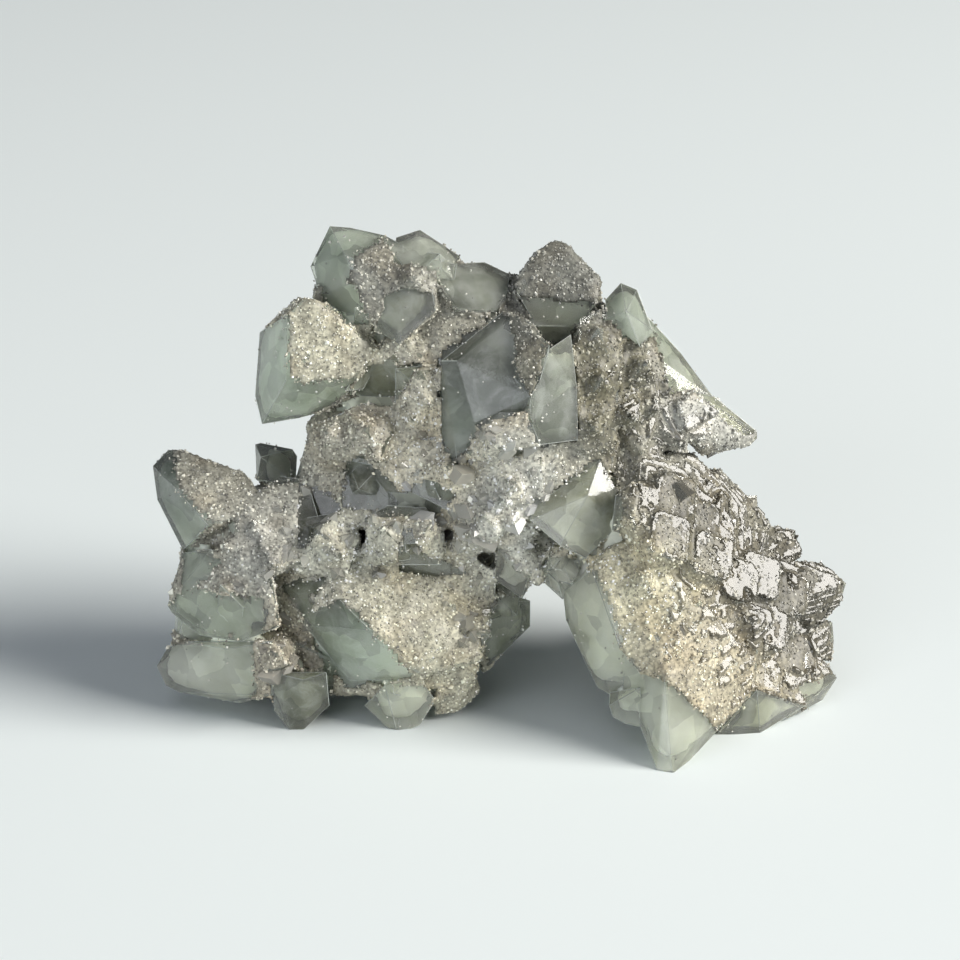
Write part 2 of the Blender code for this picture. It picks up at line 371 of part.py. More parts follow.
BACK = [
    Crystal("back_top_left", (-13, 22, -17), (-0.3, 0.5, -0.8), (0.8, 0.4, 0), (6, 7), 22),
    Crystal("back_top", (3, 18, -19), (0.2, 0.35, -0.9), (0.3, 0.9, 0), (7, 6), 24),
    Crystal("back_left_plate", (-20, 13, -15), (-0.6, -0.1, -0.8), (0.2, 0.9, 0), (5, 5), 20),
    Crystal("back_centre", (-6, 7, -20), (-0.2, -0.2, -0.95), (0.7, 0.7, 0), (7, 7), 24),
    Crystal("back_shoulder", (20, 9, -18), (0.4, 0.2, -0.9), (0.4, 0.9, 0), (6, 6), 22),
    Crystal("back_middle", (7, -1, -21), (0.1, -0.4, -0.9), (0.9, -0.2, 0), (6, 7), 24),
    Crystal("back_horn", (-33, -3, -15), (-0.6, 0.3, -0.75), (0.4, 0.9, 0), (5, 5), 20),
    Crystal("back_left", (-24, -11, -21), (-0.2, 0.1, -0.95), (0.7, 0.6, 0), (8, 7), 26),
    Crystal("back_arch", (-9, -13, -17), (0.3, -0.1, -0.95), (0.2, 0.9, 0), (6, 6), 22),
    Crystal("back_right", (33, -8, -17), (0.4, 0.3, -0.85), (0.5, 0.8, 0), (6, 6), 22),
    Crystal("back_leg", (25, -13, -19), (-0.2, 0.0, -0.95), (0.8, 0.5, 0), (7, 7), 26),
    Crystal("back_low_right", (37, -19, -14), (0.5, -0.2, -0.8), (0.3, 0.9, 0), (5, 5), 18),
    Crystal("back_left_foot", (-27, -22.6, -14), DOWN, (0.6, 0, 0.8), (5, 5), 18),
    Crystal("back_right_foot", (32, -22.8, -13.5), DOWN, (0.8, 0, 0.6), (5, 6), 18),
    Crystal("back_crown", (-5, 27, -13), (0, 0.75, -0.65), (0.9, 0.3, 0), (4, 4), 16),
    Crystal("back_crown_right", (13, 22, -15), (0.3, 0.6, -0.75), (0.5, 0.8, 0), (4, 4), 16),
    Crystal("back_slope", (27, 5, -13), (0.7, 0.1, -0.7), (0.5, 0.8, 0), (4, 4), 16),
    Crystal("back_hollow", (14, 4, -20), (0.3, -0.1, -0.95), (0.6, 0.8, 0), (4, 5), 16),
    Crystal("back_under_plate", (-19, 4, -14), (-0.5, -0.4, -0.75), (0.5, 0.8, 0), (4, 4), 15),
    Crystal("back_waist", (-13, -3, -19), (-0.1, 0.1, -0.99), (0.5, 0.8, 0), (5, 5), 18),
    Crystal("back_heel", (-17, -20, -16), (0.2, -0.6, -0.75), (0.7, 0.7, 0), (5, 4), 16),
    Crystal("back_left_heel", (-34, -15, -14), (-0.6, -0.3, -0.75), (0.5, 0.8, 0), (4, 4), 15),
    Crystal("back_instep", (-3, -19, -12), (0.6, -0.3, -0.75), (0.3, 0.9, 0), (4, 4), 14),
    Crystal("back_hip", (18, -7, -17), (-0.4, -0.2, -0.9), (0.6, 0.8, 0), (4, 5), 16),
    Crystal("back_knee", (40, -13, -13), (0.7, 0.1, -0.7), (0.4, 0.9, 0), (3.5, 4), 14),
    Crystal("back_calf", (22, -20, -13), (-0.5, -0.4, -0.75), (0.6, 0.7, 0), (4, 4), 14),
    Crystal("under_arch", (3, -12, 0), (0.2, -0.95, -0.2), (0.7, 0, 0.7), (3, 3), 12),
    Crystal("under_arch_back", (11, -11, -8), (0.1, -0.95, -0.3), (0.8, 0, 0.6), (3.5, 3), 12),
]

# The broken mass that the crystals root in: centre (right, up, out) and radii of each lump.
CORE_POINTS = 26
CORES = [
    ((-7, 18, -5), (12, 9, 11)),
    ((12, 15, -5), (11, 9, 10)),
    ((2, 2, -3), (14, 10, 12)),
    ((-20, -13, -2), (15, 11, 13)),
    ((27, -10, -1), (11, 13, 13)),
    ((-5, -14, -1), (10, 9, 9)),
    ((10, -4, 0), (10, 8, 9)),
    ((-16.5, 4, -1), (6.5, 8, 7)),
    ((-15.6, 24, -1), (6, 5, 6)),
    ((-9, 6, 2), (6, 6, 6)),
    ((9, 9, 0), (7, 7, 6)),
    ((15, -12, 5), (6, 5, 7)),
]


def seen(right, up, out):
    """The point that appears at (right, up), this far out from the leaning plane."""
    out = out + LEAN * (up - LEAN_FOOT)
    nearer = (EYE_DISTANCE - out) / EYE_DISTANCE
    return Vector((right * nearer, up * nearer, out))


def view_to_world():
    """Turns (right, up, out) into the specimen's own axes, standing level on its feet."""
    right = Vector((1, 0, 0))
    up = Vector((0, math.sin(VIEW_TILT), math.cos(VIEW_TILT)))
    out = Vector((0, -math.cos(VIEW_TILT), math.sin(VIEW_TILT)))
    return Matrix((right, up, out)).transposed().to_4x4()


def cut(mesh, point, normal):
    """Cuts away what lies beyond the plane and closes the face that this leaves."""
    everything = mesh.verts[:] + mesh.edges[:] + mesh.faces[:]
    bmesh.ops.bisect_plane(
        mesh, geom=everything, dist=1e-6, plane_co=point, plane_no=normal, clear_outer=True
    )
    open_edges = [edge for edge in mesh.edges if edge.is_boundary]
    if open_edges:
        bmesh.ops.edgeloop_fill(mesh, edges=open_edges)


def crystal_mesh(half_widths, length, flat):
    """A square prism along Z with its tip at the origin, cut to a pyramid at both ends."""
    mesh = bmesh.new()
    bmesh.ops.create_cube(mesh, size=1)
    bmesh.ops.scale(mesh, vec=(2 * half_widths[0], 2 * half_widths[1], length), verts=mesh.verts)
    bmesh.ops.translate(mesh, vec=(0, 0, -length / 2), verts=mesh.verts)
    for quarter in range(4):
        turn = math.radians(45 + 90 * quarter)
        side = Vector((math.cos(turn), math.sin(turn), 0)) * math.sin(PYRAMID_ANGLE)
        cut(mesh, (0, 0, 0), side + Vector((0, 0, math.cos(PYRAMID_ANGLE))))
        cut(mesh, (0, 0, -length), side - Vector((0, 0, math.cos(PYRAMID_ANGLE))))
    if flat:
        cut(mesh, (0, 0, -flat), (0, 0, 1))
    return mesh


def block_mesh(corners):
    """The smallest solid with flat faces that holds all of these corners."""
    mesh = bmesh.new()
    for corner in corners:
        mesh.verts.new(seen(*corner))
    hull = bmesh.ops.convex_hull(mesh, input=mesh.verts)
    inside = [item for item in hull["geom_interior"] if isinstance(item, bmesh.types.BMVert)]
    bmesh.ops.delete(mesh, geom=inside, context="VERTS")
    return mesh


def placed(crystal):
    """The matrix that puts a crystal's tip in place, with its Z along the axis and its X towards the face."""
    axis = Vector(crystal.axis).normalized()
    face = Vector(crystal.face)
    face = (face - axis * face.dot(axis)).normalized()
    turn = Matrix((face, axis.cross(face), axis)).transposed().to_4x4()
    return Matrix.Translation(seen(*crystal.tip)) @ turn


def fill_hollows(mesh):
    """Fills the spaces closed in between crystals, by keeping only the surface that reaches furthest."""
    unseen = set(mesh.verts)
    islands = []
    while unseen:
        island = [unseen.pop()]
        for vertex in island:
            near = {edge.other_vert(vertex) for edge in vertex.link_edges} & unseen
            unseen -= near
            island.extend(sorted(near, key=lambda found: found.index))
        islands.append(island)
    islands.sort(key=len)
    for hollow in islands[:-1]:
        bmesh.ops.delete(mesh, geom=hollow, context="VERTS")


def grind_feet(mesh):
    """Cuts the finished mesh level at the floor and moves its footprint's centre to the origin."""
    cut(mesh, (0, 0, -FLOOR_DROP * MM), (0, 0, -1))
    lowest = [min(vertex.co[axis] for vertex in mesh.verts) for axis in range(3)]
    highest = [max(vertex.co[axis] for vertex in mesh.verts) for axis in range(3)]
    middle = [(lowest[axis] + highest[axis]) / 2 for axis in range(2)]
    bmesh.ops.translate(mesh, vec=(-middle[0], -middle[1], -lowest[2]), verts=mesh.verts)


def add_object(name, mesh, collection, hidden=True):
    data = bpy.data.meshes.new(name)
    bmesh.ops.recalc_face_normals(mesh, faces=mesh.faces)
    mesh.to_mesh(data)
    mesh.free()
    made = bpy.data.objects.new(name, data)
    collection.objects.link(made)
    if hidden:
        made.hide_render = True
        made.display_type = "WIRE"
    return made


def crystal_material():
    """Pale grey-green clear crystal, glassy, with a whitish crust on part of it."""
    made = bpy.data.materials.new("apophyllite")
    made.use_nodes = True
    surface = made.node_tree.nodes["Principled BSDF"]
    surface.inputs["Base Color"].default_value = (*CRYSTAL_COLOUR, 1)
    surface.inputs["Roughness"].default_value = CRYSTAL_ROUGHNESS
    surface.inputs["Metallic"].default_value = 0
    return made


def new_collection(name):
    made = bpy.data.collections.new(name)
    bpy.context.scene.collection.children.link(made)
    return made


def core_mesh(radii, seed):
    """An angular lump: the smallest flat-faced solid round points scattered on an ellipsoid."""
    scatter = random.Random(seed)
    mesh = bmesh.new()
    for _ in range(CORE_POINTS):
        away = Vector([scatter.gauss(0, 1) for _ in range(3)]).normalized()
        mesh.verts.new([away[axis] * radii[axis] for axis in range(3)])
    bmesh.ops.convex_hull(mesh, input=mesh.verts)
    return mesh


def main():
    for old in list(bpy.data.objects):
        bpy.data.objects.remove(old)
    shown = new_collection("apophyllite_specimen")
    grown = new_collection("crystals")
    to_world = Matrix.Scale(MM, 4) @ view_to_world()

    for block in TOP + CENTRE + RIGHT + LEFT + BETWEEN:
        mesh = block_mesh(block.corners)
        bmesh.ops.transform(mesh, matrix=to_world, verts=mesh.verts)
        add_object(block.name, mesh, grown)
    for crystal in SMALL + BACK:
        mesh = crystal_mesh(crystal.half_widths, crystal.length, crystal.flat)
        bmesh.ops.transform(mesh, matrix=to_world @ placed(crystal), verts=mesh.verts)
        add_object(crystal.name, mesh, grown)
    for number, (centre, radii) in enumerate(CORES):
        mesh = core_mesh(radii, number)
        bmesh.ops.transform(mesh, matrix=to_world @ Matrix.Translation(seen(*centre)), verts=mesh.verts)
        if number:
            add_object(f"core_{number}", mesh, grown)
        else:
            cluster = add_object("apophyllite_cluster", mesh, shown, hidden=False)
    join = cluster.modifiers.new("grow_together", "BOOLEAN")
    join.operation = "UNION"
    join.operand_type = "COLLECTION"
    join.collection = grown
    join.solver = "EXACT"

    cluster.data.materials.append(crystal_material())

    graph = bpy.context.evaluated_depsgraph_get()
    mesh = bmesh.new()
    mesh.from_mesh(cluster.evaluated_get(graph).to_mesh())
    cluster.modifiers.remove(join)
    fill_hollows(mesh)
    grind_feet(mesh)
    bmesh.ops.triangulate(mesh, faces=mesh.faces)
    mesh.to_mesh(cluster.data)
    mesh.free()


if __name__ == "__main__":
    main()
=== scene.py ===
"""The looks of the apophyllite specimen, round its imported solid.

The clear crystals are the solid's own triangles, with a cloudy heart inside them and thin bars along their
edges. The sugar crust is a thin shell grown out from the coated parts of the surface, with small angular
crystals on it.
"""

import math

import bpy
import numpy as np
import openvdb
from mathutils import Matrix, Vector


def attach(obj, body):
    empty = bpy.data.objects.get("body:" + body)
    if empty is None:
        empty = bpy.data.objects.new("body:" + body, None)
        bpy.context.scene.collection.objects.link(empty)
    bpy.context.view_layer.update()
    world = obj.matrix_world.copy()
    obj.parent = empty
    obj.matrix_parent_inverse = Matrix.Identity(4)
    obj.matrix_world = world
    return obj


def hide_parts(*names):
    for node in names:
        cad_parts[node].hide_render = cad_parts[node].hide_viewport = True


bl_info = {
    "name": "Apophyllite specimen",
    "version": (1, 0, 0),
    "blender": (4, 5, 0),
    "location": "3D View > Sidebar > Specimen",
    "description": "Clear crystals, sugar crust and stage of an apophyllite specimen",
    "category": "Add Mesh",
}

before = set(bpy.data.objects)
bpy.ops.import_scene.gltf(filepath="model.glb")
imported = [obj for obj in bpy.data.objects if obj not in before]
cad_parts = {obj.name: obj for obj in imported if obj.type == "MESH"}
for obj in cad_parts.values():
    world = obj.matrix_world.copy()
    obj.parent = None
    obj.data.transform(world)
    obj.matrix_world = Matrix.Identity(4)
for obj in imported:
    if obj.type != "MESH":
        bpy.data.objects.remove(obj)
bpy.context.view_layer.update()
NODE = "apophyllite_cluster"
MM = 0.001

# The photograph's view: its middle in the part's frame, how far the eye is raised, and its width there.
VIEW_MIDDLE = Vector((-2.78, 11.33, 25.3)) * MM
VIEW_TILT = math.radians(20)
EYE_DISTANCE = 0.4
PICTURE_WIDTH = 0.1248
PICTURE_PIXELS = 960
SENSOR = 36.0

# Outlines of the clear, uncoated parts, in pixels of the photograph's 960 by 960 frame.
CLEAR_OUTLINES = {
    "top left side": [
        (310, 285), (308, 266), (318, 248), (328, 222), (350, 222), (387, 232), (352, 256), (343, 285),
    ],
    "top left underside": [(322, 281), (352, 286), (369, 325), (345, 322), (325, 300)],
    "grey facet": [(375, 330), (385, 298), (402, 290), (432, 293), (434, 312), (400, 344)],
    "top ridge": [(386, 230), (420, 226), (445, 240), (463, 257), (438, 268), (400, 263), (388, 242)],
    "top saddle": [(436, 265), (485, 260), (512, 272), (505, 300), (495, 312), (455, 312)],
    "olive underside": [(350, 396), (370, 366), (420, 363), (396, 398)],
    "left plate rim": [
        (262, 428), (252, 395), (254, 375), (258, 345), (258, 330), (288, 316), (286, 377), (302, 383),
        (356, 379), (345, 396), (302, 420),
    ],
    "centre face": [
        (441, 356), (505, 312), (514, 346), (515, 378), (530, 398), (525, 410), (476, 423), (470, 440),
        (456, 466), (441, 440),
    ],
    "centre right faces": [
        (549, 345), (572, 334), (578, 390), (578, 441), (540, 445), (527, 418), (529, 400), (536, 388),
    ],
    "under the peak": [(519, 299), (597, 304), (570, 335), (548, 345)],
    "small green": [(604, 300), (621, 280), (640, 288), (655, 330), (640, 348), (607, 318)],
    "spike edge": [(653, 322), (700, 370), (762, 428), (742, 432), (692, 388), (672, 394), (660, 350)],
    "cloudy crystal": [(534, 505), (600, 459), (623, 500), (619, 526), (585, 559), (560, 546), (529, 521)],
    "leg side": [
        (555, 600), (575, 650), (600, 692), (640, 673), (620, 650), (605, 600), (593, 571), (574, 583),
    ],
    "front foot": [
        (596, 690), (606, 722), (636, 736), (644, 775), (675, 785), (720, 735), (690, 702), (664, 681),
        (640, 673),
    ],
    "back bottom": [(708, 738), (757, 692), (806, 706), (792, 724), (760, 738)],
    "low right": [(800, 688), (840, 672), (826, 702), (806, 708)],
    "left horn side": [(148, 470), (155, 450), (171, 449), (176, 487), (209, 526), (184, 553), (160, 515)],
    "dark stub": [(250, 440), (300, 450), (297, 482), (256, 482)],
    "left hollow": [(303, 484), (342, 504), (300, 552)],
    "left grey face": [(182, 545), (222, 561), (183, 592)],
    "left green": [(160, 605), (196, 590), (263, 601), (263, 636), (200, 642), (180, 636)],
    "left lobe": [(148, 672), (160, 645), (250, 641), (254, 692), (240, 710), (160, 695)],
    "left foot": [(272, 670), (332, 668), (334, 708), (305, 735), (285, 735), (270, 712)],
    "plate dark face": [(281, 586), (326, 577), (306, 617)],
    "plate clear face": [(304, 617), (341, 601), (371, 631), (396, 661), (412, 677), (350, 686), (318, 652)],
    "middle foot": [(362, 705), (385, 685), (436, 690), (425, 726), (395, 740)],
    "arch side": [(496, 597), (534, 595), (534, 627), (490, 664), (484, 640)],
    "dark middle": [
        (346, 474), (358, 455), (402, 494), (430, 481), (452, 495), (438, 513), (400, 516), (346, 506),
    ],
    "dark slot": [(404, 526), (425, 558), (466, 574), (400, 570)],
    "hanging rhomb": [(496, 549), (528, 580), (522, 602), (498, 586)],
    "drops": [(545, 558), (586, 559), (586, 607), (545, 602)],
}


def linear(code):
    """An sRGB hex colour as linear red, green, blue and a full alpha."""
    shares = np.array([int(code[i : i + 2], 16) for i in (1, 3, 5)]) / 255
    low = shares / 12.92
    high = ((shares + 0.055) / 1.055) ** 2.4
    return (*np.where(shares <= 0.04045, low, high).tolist(), 1.0)


# Tints of the crust: where each is strongest, in pixels of the photograph, and its colour. They are fitted to
# the photograph under this scene's light, and aren't the mineral's own measured colour: each holds the
# crust's colour with painted light and shade of its place.
CRUST_TINTS_AND_SHADING = {
    "top left grey": ((370, 270), "#949387"),
    "left plate cream": ((320, 345), "#c3bfa8"),
    "peak grey": ((560, 272), "#797970"),
    "beige field": ((340, 430), "#b4af9e"),
    "cream field": ((440, 460), "#d9d2bb"),
    "silver field": ((520, 500), "#cdcdc2"),
    "column brown": ((600, 390), "#75715b"),
    "spike grey": ((715, 425), "#b8b7ad"),
    "body brown": ((690, 510), "#66614f"),
    "body grey": ((770, 600), "#686456"),
    "leg gold": ((630, 590), "#dad3b3"),
    "foot gold": ((700, 660), "#beb499"),
    "left horn beige": ((215, 490), "#b4b09f"),
    "left grey": ((270, 540), "#b6b4a9"),
    "lavender grey": ((325, 545), "#cac9b7"),
    "plate cream": ((410, 620), "#b9b59e"),
    "low brown": ((270, 660), "#b4ac98"),
}


# Tints of the clear crystals, in the same way: the crystals' colour with painted light and shade in it. They
# are pale where a crystal is thin or light shines through it, and near white as painted light on the leg
# side, the front foot, the left lobe, the hanging rhomb and the drops. They are dark where a crystal is deep
# or in shade.
CLEAR_TINTS_AND_SHADING = {
    "top left": ((330, 250), "#b2bdaa"),
    "top left underside": ((345, 300), "#c1cab3"),
    "grey facet": ((405, 318), "#9fa392"),
    "top ridge": ((425, 245), "#a9ae9d"),
    "top saddle": ((475, 285), "#8c9181"),
    "olive underside": ((385, 380), "#a2a588"),
    "left plate rim": ((275, 380), "#dbe8d1"),
    "left plate foot": ((320, 400), "#c0cbb5"),
    "centre face top": ((490, 345), "#6b7163"),
    "centre face": ((480, 390), "#6e7566"),
    "centre face foot": ((460, 440), "#9aa393"),
    "centre right": ((560, 400), "#848a7c"),
    "under the peak": ((545, 315), "#d2d6c3"),
    "small green": ((630, 315), "#a6af9d"),
    "spike edge": ((700, 375), "#b7bda9"),
    "spike olive": ((690, 420), "#b5b390"),
    "cloudy crystal": ((575, 510), "#a0a38b"),
    "leg side": ((595, 640), "#faffe4"),
    "front foot": ((665, 725), "#f9ffe6"),
    "back bottom": ((760, 715), "#a7aa91"),
    "low right": ((815, 690), "#cfd2bc"),
    "left horn": ((165, 495), "#96a090"),
    "dark stub": ((275, 470), "#c3c7b4"),
    "left hollow": ((318, 515), "#64664e"),
    "left grey face": ((195, 560), "#bcc3b1"),
    "left green": ((215, 620), "#a6af98"),
    "left lobe": ((200, 670), "#f8fae8"),
    "left foot": ((300, 695), "#91957c"),
    "plate dark face": ((300, 592), "#919881"),
    "plate clear face": ((355, 650), "#afbca8"),
    "middle foot": ((400, 710), "#c8ccb4"),
    "arch side": ((515, 625), "#a9af92"),
    "dark middle": ((400, 500), "#8b8f7e"),
    "dark slot": ((425, 555), "#989a81"),
    "hanging rhomb": ((510, 580), "#f6f8e6"),
    "drops": ((565, 580), "#f6f8e4"),
}


# How far each tint holds, in pixels, before its neighbours mix in.
CLEAR_REACH = 12
CRUST_REACH = 30

# Where the small square crystals stand thickest: the field's middle and reach in pixels, and its share.
SMALL_FIELDS = {
    "middle": ((470, 500), 80, 1.0),
    "left middle": ((330, 540), 60, 0.8),
    "left low": ((270, 630), 60, 0.6),
    "arch": ((500, 590), 60, 0.9),
}

# Where the stepped growth lies, as middle and reach in pixels.
STEPPED_FIELDS = {
    "right body": ((765, 590), 125),
    "upper body": ((690, 500), 85),
    "spike": ((665, 405), 65),
    "low body": ((800, 660), 70),
}

# The way that the steps' flat tops face, as right, back and up. It is half-way between this scene's camera
# and its key light, so the tops mirror the light in the photograph's view. From elsewhere they look dark.
STEP_FACE = (0.485, -0.695, 0.533)

# How dark the steps are against the crust's tints.
STEP_SHADE = 0.42

# A crystal's edge takes a worn, pale bar, partly a painted highlight, where its faces turn by more than this,
# and if it is longer than this.
EDGE_TURN = math.radians(25)
EDGE_SHORTEST = 0.5 * MM


def seen_from_front(points):
    """Where points in the part's frame appear in the photograph, in pixels, and how near the eye each is.

    A point's offset from the view's middle is split into right, up and out. Right and up are then widened by
    the eye's distance over what is left of it, and scaled to pixels counted from the top left corner.
    """
    offset = points - np.array(VIEW_MIDDLE)
    right = offset[:, 0]
    up = offset[:, 1] * math.sin(VIEW_TILT) + offset[:, 2] * math.cos(VIEW_TILT)
    out = offset[:, 2] * math.sin(VIEW_TILT) - offset[:, 1] * math.cos(VIEW_TILT)
    scale = EYE_DISTANCE / (EYE_DISTANCE - out) * PICTURE_PIXELS / PICTURE_WIDTH
    middle = PICTURE_PIXELS / 2
    return np.stack([middle + right * scale, middle - up * scale], axis=1), out


def inside(places, outline):
    """Whether each place is inside a closed outline: a line from it to the right crosses it oddly often."""
    crossed = np.zeros(len(places), bool)
    x, y = places[:, 0], places[:, 1]
    corners = np.array(outline, float)
    for (ax, ay), (bx, by) in zip(corners, np.roll(corners, -1, axis=0)):
        if ay == by:
            continue
        spans = (ay > y) != (by > y)
        crossed ^= spans & (x < ax + (y - ay) / (by - ay) * (bx - ax))
    return crossed


def wobble(points, size, seed):
    """Smooth noise from about -1 to 1: sines of the place along nine seeded ways, with waves near size."""
    scatter = np.random.default_rng(seed)
    total = np.zeros(len(points))
    for _ in range(9):
        way = scatter.normal(size=3)
        way /= np.linalg.norm(way)
        wave = size * scatter.uniform(0.6, 1.6)
        total += np.sin(points @ way * (2 * math.pi / wave) + scatter.uniform(0, 2 * math.pi))
    return total / 3.2


def coating(points, normals):
    """How strongly each point of the surface is coated, above 0 where the crust grows.

    Towards the photograph's viewer it is 1 outside every clear outline and -1 inside one. Elsewhere it
    follows smooth noise, and upward faces are coated more than downward ones, as fine crystals settle there.
    """
    places, _ = seen_from_front(points)
    places = places + np.stack([wobble(points, 3 * MM, 11), wobble(points, 3 * MM, 12)], axis=1) * 1.3
    clear = np.zeros(len(points), bool)
    for outline in CLEAR_OUTLINES.values():
        clear |= inside(places, outline)
    front = np.where(clear, -1.0, 1.0)
    to_eye = np.array([0, -math.cos(VIEW_TILT), math.sin(VIEW_TILT)])
    facing = np.clip((normals @ to_eye + 0.15) / 0.2, 0, 1)
    noise = 0.9 * wobble(points, 14 * MM, 5)
    elsewhere = 0.35 + 0.6 * normals[:, 2] + noise + 0.35 * wobble(points, 4 * MM, 6)
    elsewhere = np.where(clear, elsewhere - 1.6, elsewhere)
    return front * facing + np.clip(elsewhere, -1, 1) * (1 - facing)


def tinted(points, tints, reach):
    """The linear colour at each point: the tints, weighted by nearness in the photograph to the fourth."""
    places, _ = seen_from_front(points)
    total = np.zeros((len(points), 3))
    weights = np.zeros(len(points))
    for centre, code in tints.values():
        away = ((places - np.array(centre)) ** 2).sum(axis=1)
        weight = 1 / (away + reach * reach) ** 2
        total += weight[:, None] * np.array(linear(code)[:3])
        weights += weight
    return total / weights[:, None]


def greyer(colours, share):
    """Colours moved this share of the way to the grey of their own lightness."""
    grey = colours @ np.array([0.2126, 0.7152, 0.0722])
    return colours * (1 - share) + grey[:, None] * share


def clear_colours(points):
    """The clear crystals' tints, a little greyer than they are written."""
    return greyer(tinted(points, CLEAR_TINTS_AND_SHADING, CLEAR_REACH), 0.4)


def lightened(colours, factor):
    """Colours made this much lighter, each held under white without losing its hue."""
    lighter = colours * factor
    return lighter / np.maximum(lighter.max(axis=1) / 0.96, 1)[:, None]


def solid_arrays():
    """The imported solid's corners and triangles, with the corners that lie together counted once."""
    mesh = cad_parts[NODE].data
    mesh.calc_loop_triangles()
    corners = np.empty(len(mesh.vertices) * 3, np.float32)
    mesh.vertices.foreach_get("co", corners)
    triangles = np.empty(len(mesh.loop_triangles) * 3, np.int32)
    mesh.loop_triangles.foreach_get("vertices", triangles)
    corners = corners.reshape(-1, 3).astype(float)
    keys = np.round(corners / (0.001 * MM)).astype(np.int64)
    _, first, index = np.unique(keys, axis=0, return_index=True, return_inverse=True)
    triangles = index.reshape(-1)[triangles.reshape(-1, 3)]
    whole = (
        (triangles[:, 0] != triangles[:, 1])
        & (triangles[:, 1] != triangles[:, 2])
        & (triangles[:, 0] != triangles[:, 2])
    )
    return corners[first], triangles[whole]


def grown_surface(distance, step):
    """The solid's surface moved out by distance, as even quads one step wide: a level of its distances."""
    corners, triangles = solid_arrays()
    grid = openvdb.FloatGrid.createLevelSetFromPolygons(
        corners.astype(np.float32),
        triangles=triangles.astype(np.uint32),
        transform=openvdb.createLinearTransform(voxelSize=step),
        halfWidth=abs(distance) / step + 3,
    )
    points, quads = grid.convertToQuads(isovalue=distance)
    return points.astype(float), quads[:, ::-1].astype(np.int64)


def point_normals(points, faces):
    """Each point's normal: the sum of its faces' own normals, which grow with their areas."""
    a, b, c = points[faces[:, 0]], points[faces[:, 1]], points[faces[:, 2]]
    across = np.cross(b - a, c - a)
    normals = np.zeros_like(points)
    for corner in range(faces.shape[1]):
        np.add.at(normals, faces[:, corner], across)
    return normals / np.maximum(np.linalg.norm(normals, axis=1), 1e-12)[:, None]


def put_mesh(name, points, faces, material, smooth=False):
    """A new object from arrays of points and of equal faces, on the specimen's one body."""
    mesh = bpy.data.meshes.new(name)
    mesh.vertices.add(len(points))
    mesh.vertices.foreach_set("co", np.asarray(points, np.float32).ravel())
    sides = faces.shape[1]
    mesh.loops.add(faces.size)
    mesh.loops.foreach_set("vertex_index", np.asarray(faces, np.int32).ravel())
    mesh.polygons.add(len(faces))
    mesh.polygons.foreach_set("loop_start", np.arange(0, faces.size, sides, dtype=np.int32))
    mesh.polygons.foreach_set("use_smooth", np.full(len(faces), smooth))
    mesh.update(calc_edges=True)
    mesh.validate()
    mesh.materials.append(material)
    made = bpy.data.objects.new(name, mesh)
    bpy.context.scene.collection.objects.link(made)
    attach(made, "root")
    return made


def set_point_colours(made, colours):
    """Keeps a linear colour at each point, as the attribute that the materials read."""
    layer = made.data.color_attributes.new("tint", "FLOAT_COLOR", "POINT")
    opaque = np.hstack([colours, np.ones((len(colours), 1))])
    layer.data.foreach_set("color", opaque.astype(np.float32).ravel())


def add_node(tree, kind, settings=None, inputs=None):
    """One node with its settings, and its inputs set to values or linked from other nodes' sockets."""
    made = tree.nodes.new(kind)
    for name, value in (settings or {}).items():
        setattr(made, name, value)
    for name, value in (inputs or {}).items():
        if isinstance(value, bpy.types.NodeSocket):
            tree.links.new(value, made.inputs[name])
        else:
            made.inputs[name].default_value = value
    return made


def new_material(name):
    """An empty node material with its output, ready for a shader."""
    made = bpy.data.materials.new(name)
    made.use_nodes = True
    tree = made.node_tree
    tree.nodes.clear()
    return made, tree, tree.nodes.new("ShaderNodeOutputMaterial")


def clear_apophyllite(settings):
    """Glassy apophyllite: see-through with a green cast, and finely grooved, so its faces gleam unevenly."""
    made, tree, output = new_material("clear apophyllite")
    place = add_node(tree, "ShaderNodeTexCoord").outputs["Object"]
    along = add_node(tree, "ShaderNodeMapping", inputs={"Vector": place, "Scale": (5200.0, 5200.0, 420.0)})
    lines = add_node(tree, "ShaderNodeTexNoise", inputs={"Vector": along.outputs["Vector"], "Scale": 1.0})
    grooves = add_node(tree, "ShaderNodeBump", inputs={
        "Height": lines.outputs["Fac"], "Strength": 0.2, "Distance": 0.00005,
    })
    tint = add_node(tree, "ShaderNodeAttribute", {"attribute_name": "tint"})
    veils = add_node(tree, "ShaderNodeTexNoise", inputs={
        "Vector": place, "Scale": 260.0, "Detail": 6.0, "Roughness": 0.7, "Distortion": 1.2,
    })
    veil = add_node(tree, "ShaderNodeMapRange", inputs={
        "Value": veils.outputs["Fac"], "From Min": 0.43, "From Max": 0.68, "To Min": 0.0, "To Max": 0.85,
    })
    depths = add_node(tree, "ShaderNodeTexNoise", inputs={"Vector": place, "Scale": 130.0, "Detail": 3.0})
    depth_shade = add_node(tree, "ShaderNodeMapRange", inputs={
        "Value": depths.outputs["Fac"], "From Min": 0.35, "From Max": 0.65, "To Min": 0.62, "To Max": 1.1,
    })
    deep = add_node(
        tree, "ShaderNodeVectorMath", {"operation": "SCALE"},
        {"Vector": tint.outputs["Color"], "Scale": depth_shade.outputs["Result"]},
    )
    milky = add_node(tree, "ShaderNodeMix", {"data_type": "RGBA"}, {
        0: veil.outputs["Result"], 6: deep.outputs["Vector"], 7: linear("#f6f8f4"),
    })
    surface = add_node(tree, "ShaderNodeBsdfPrincipled", inputs={
        "Base Color": milky.outputs[2],
        "Roughness": 0.03,
        "IOR": 1.535,
        "Transmission Weight": settings.clearness,
        "Normal": grooves.outputs["Normal"],
    })
    depth = add_node(tree, "ShaderNodeVolumeAbsorption", inputs={
        "Color": linear("#c6cdc0"),
        "Density": settings.clearness_loss,
    })
    tree.links.new(surface.outputs["BSDF"], output.inputs["Surface"])
    tree.links.new(depth.outputs["Volume"], output.inputs["Volume"])
    return made


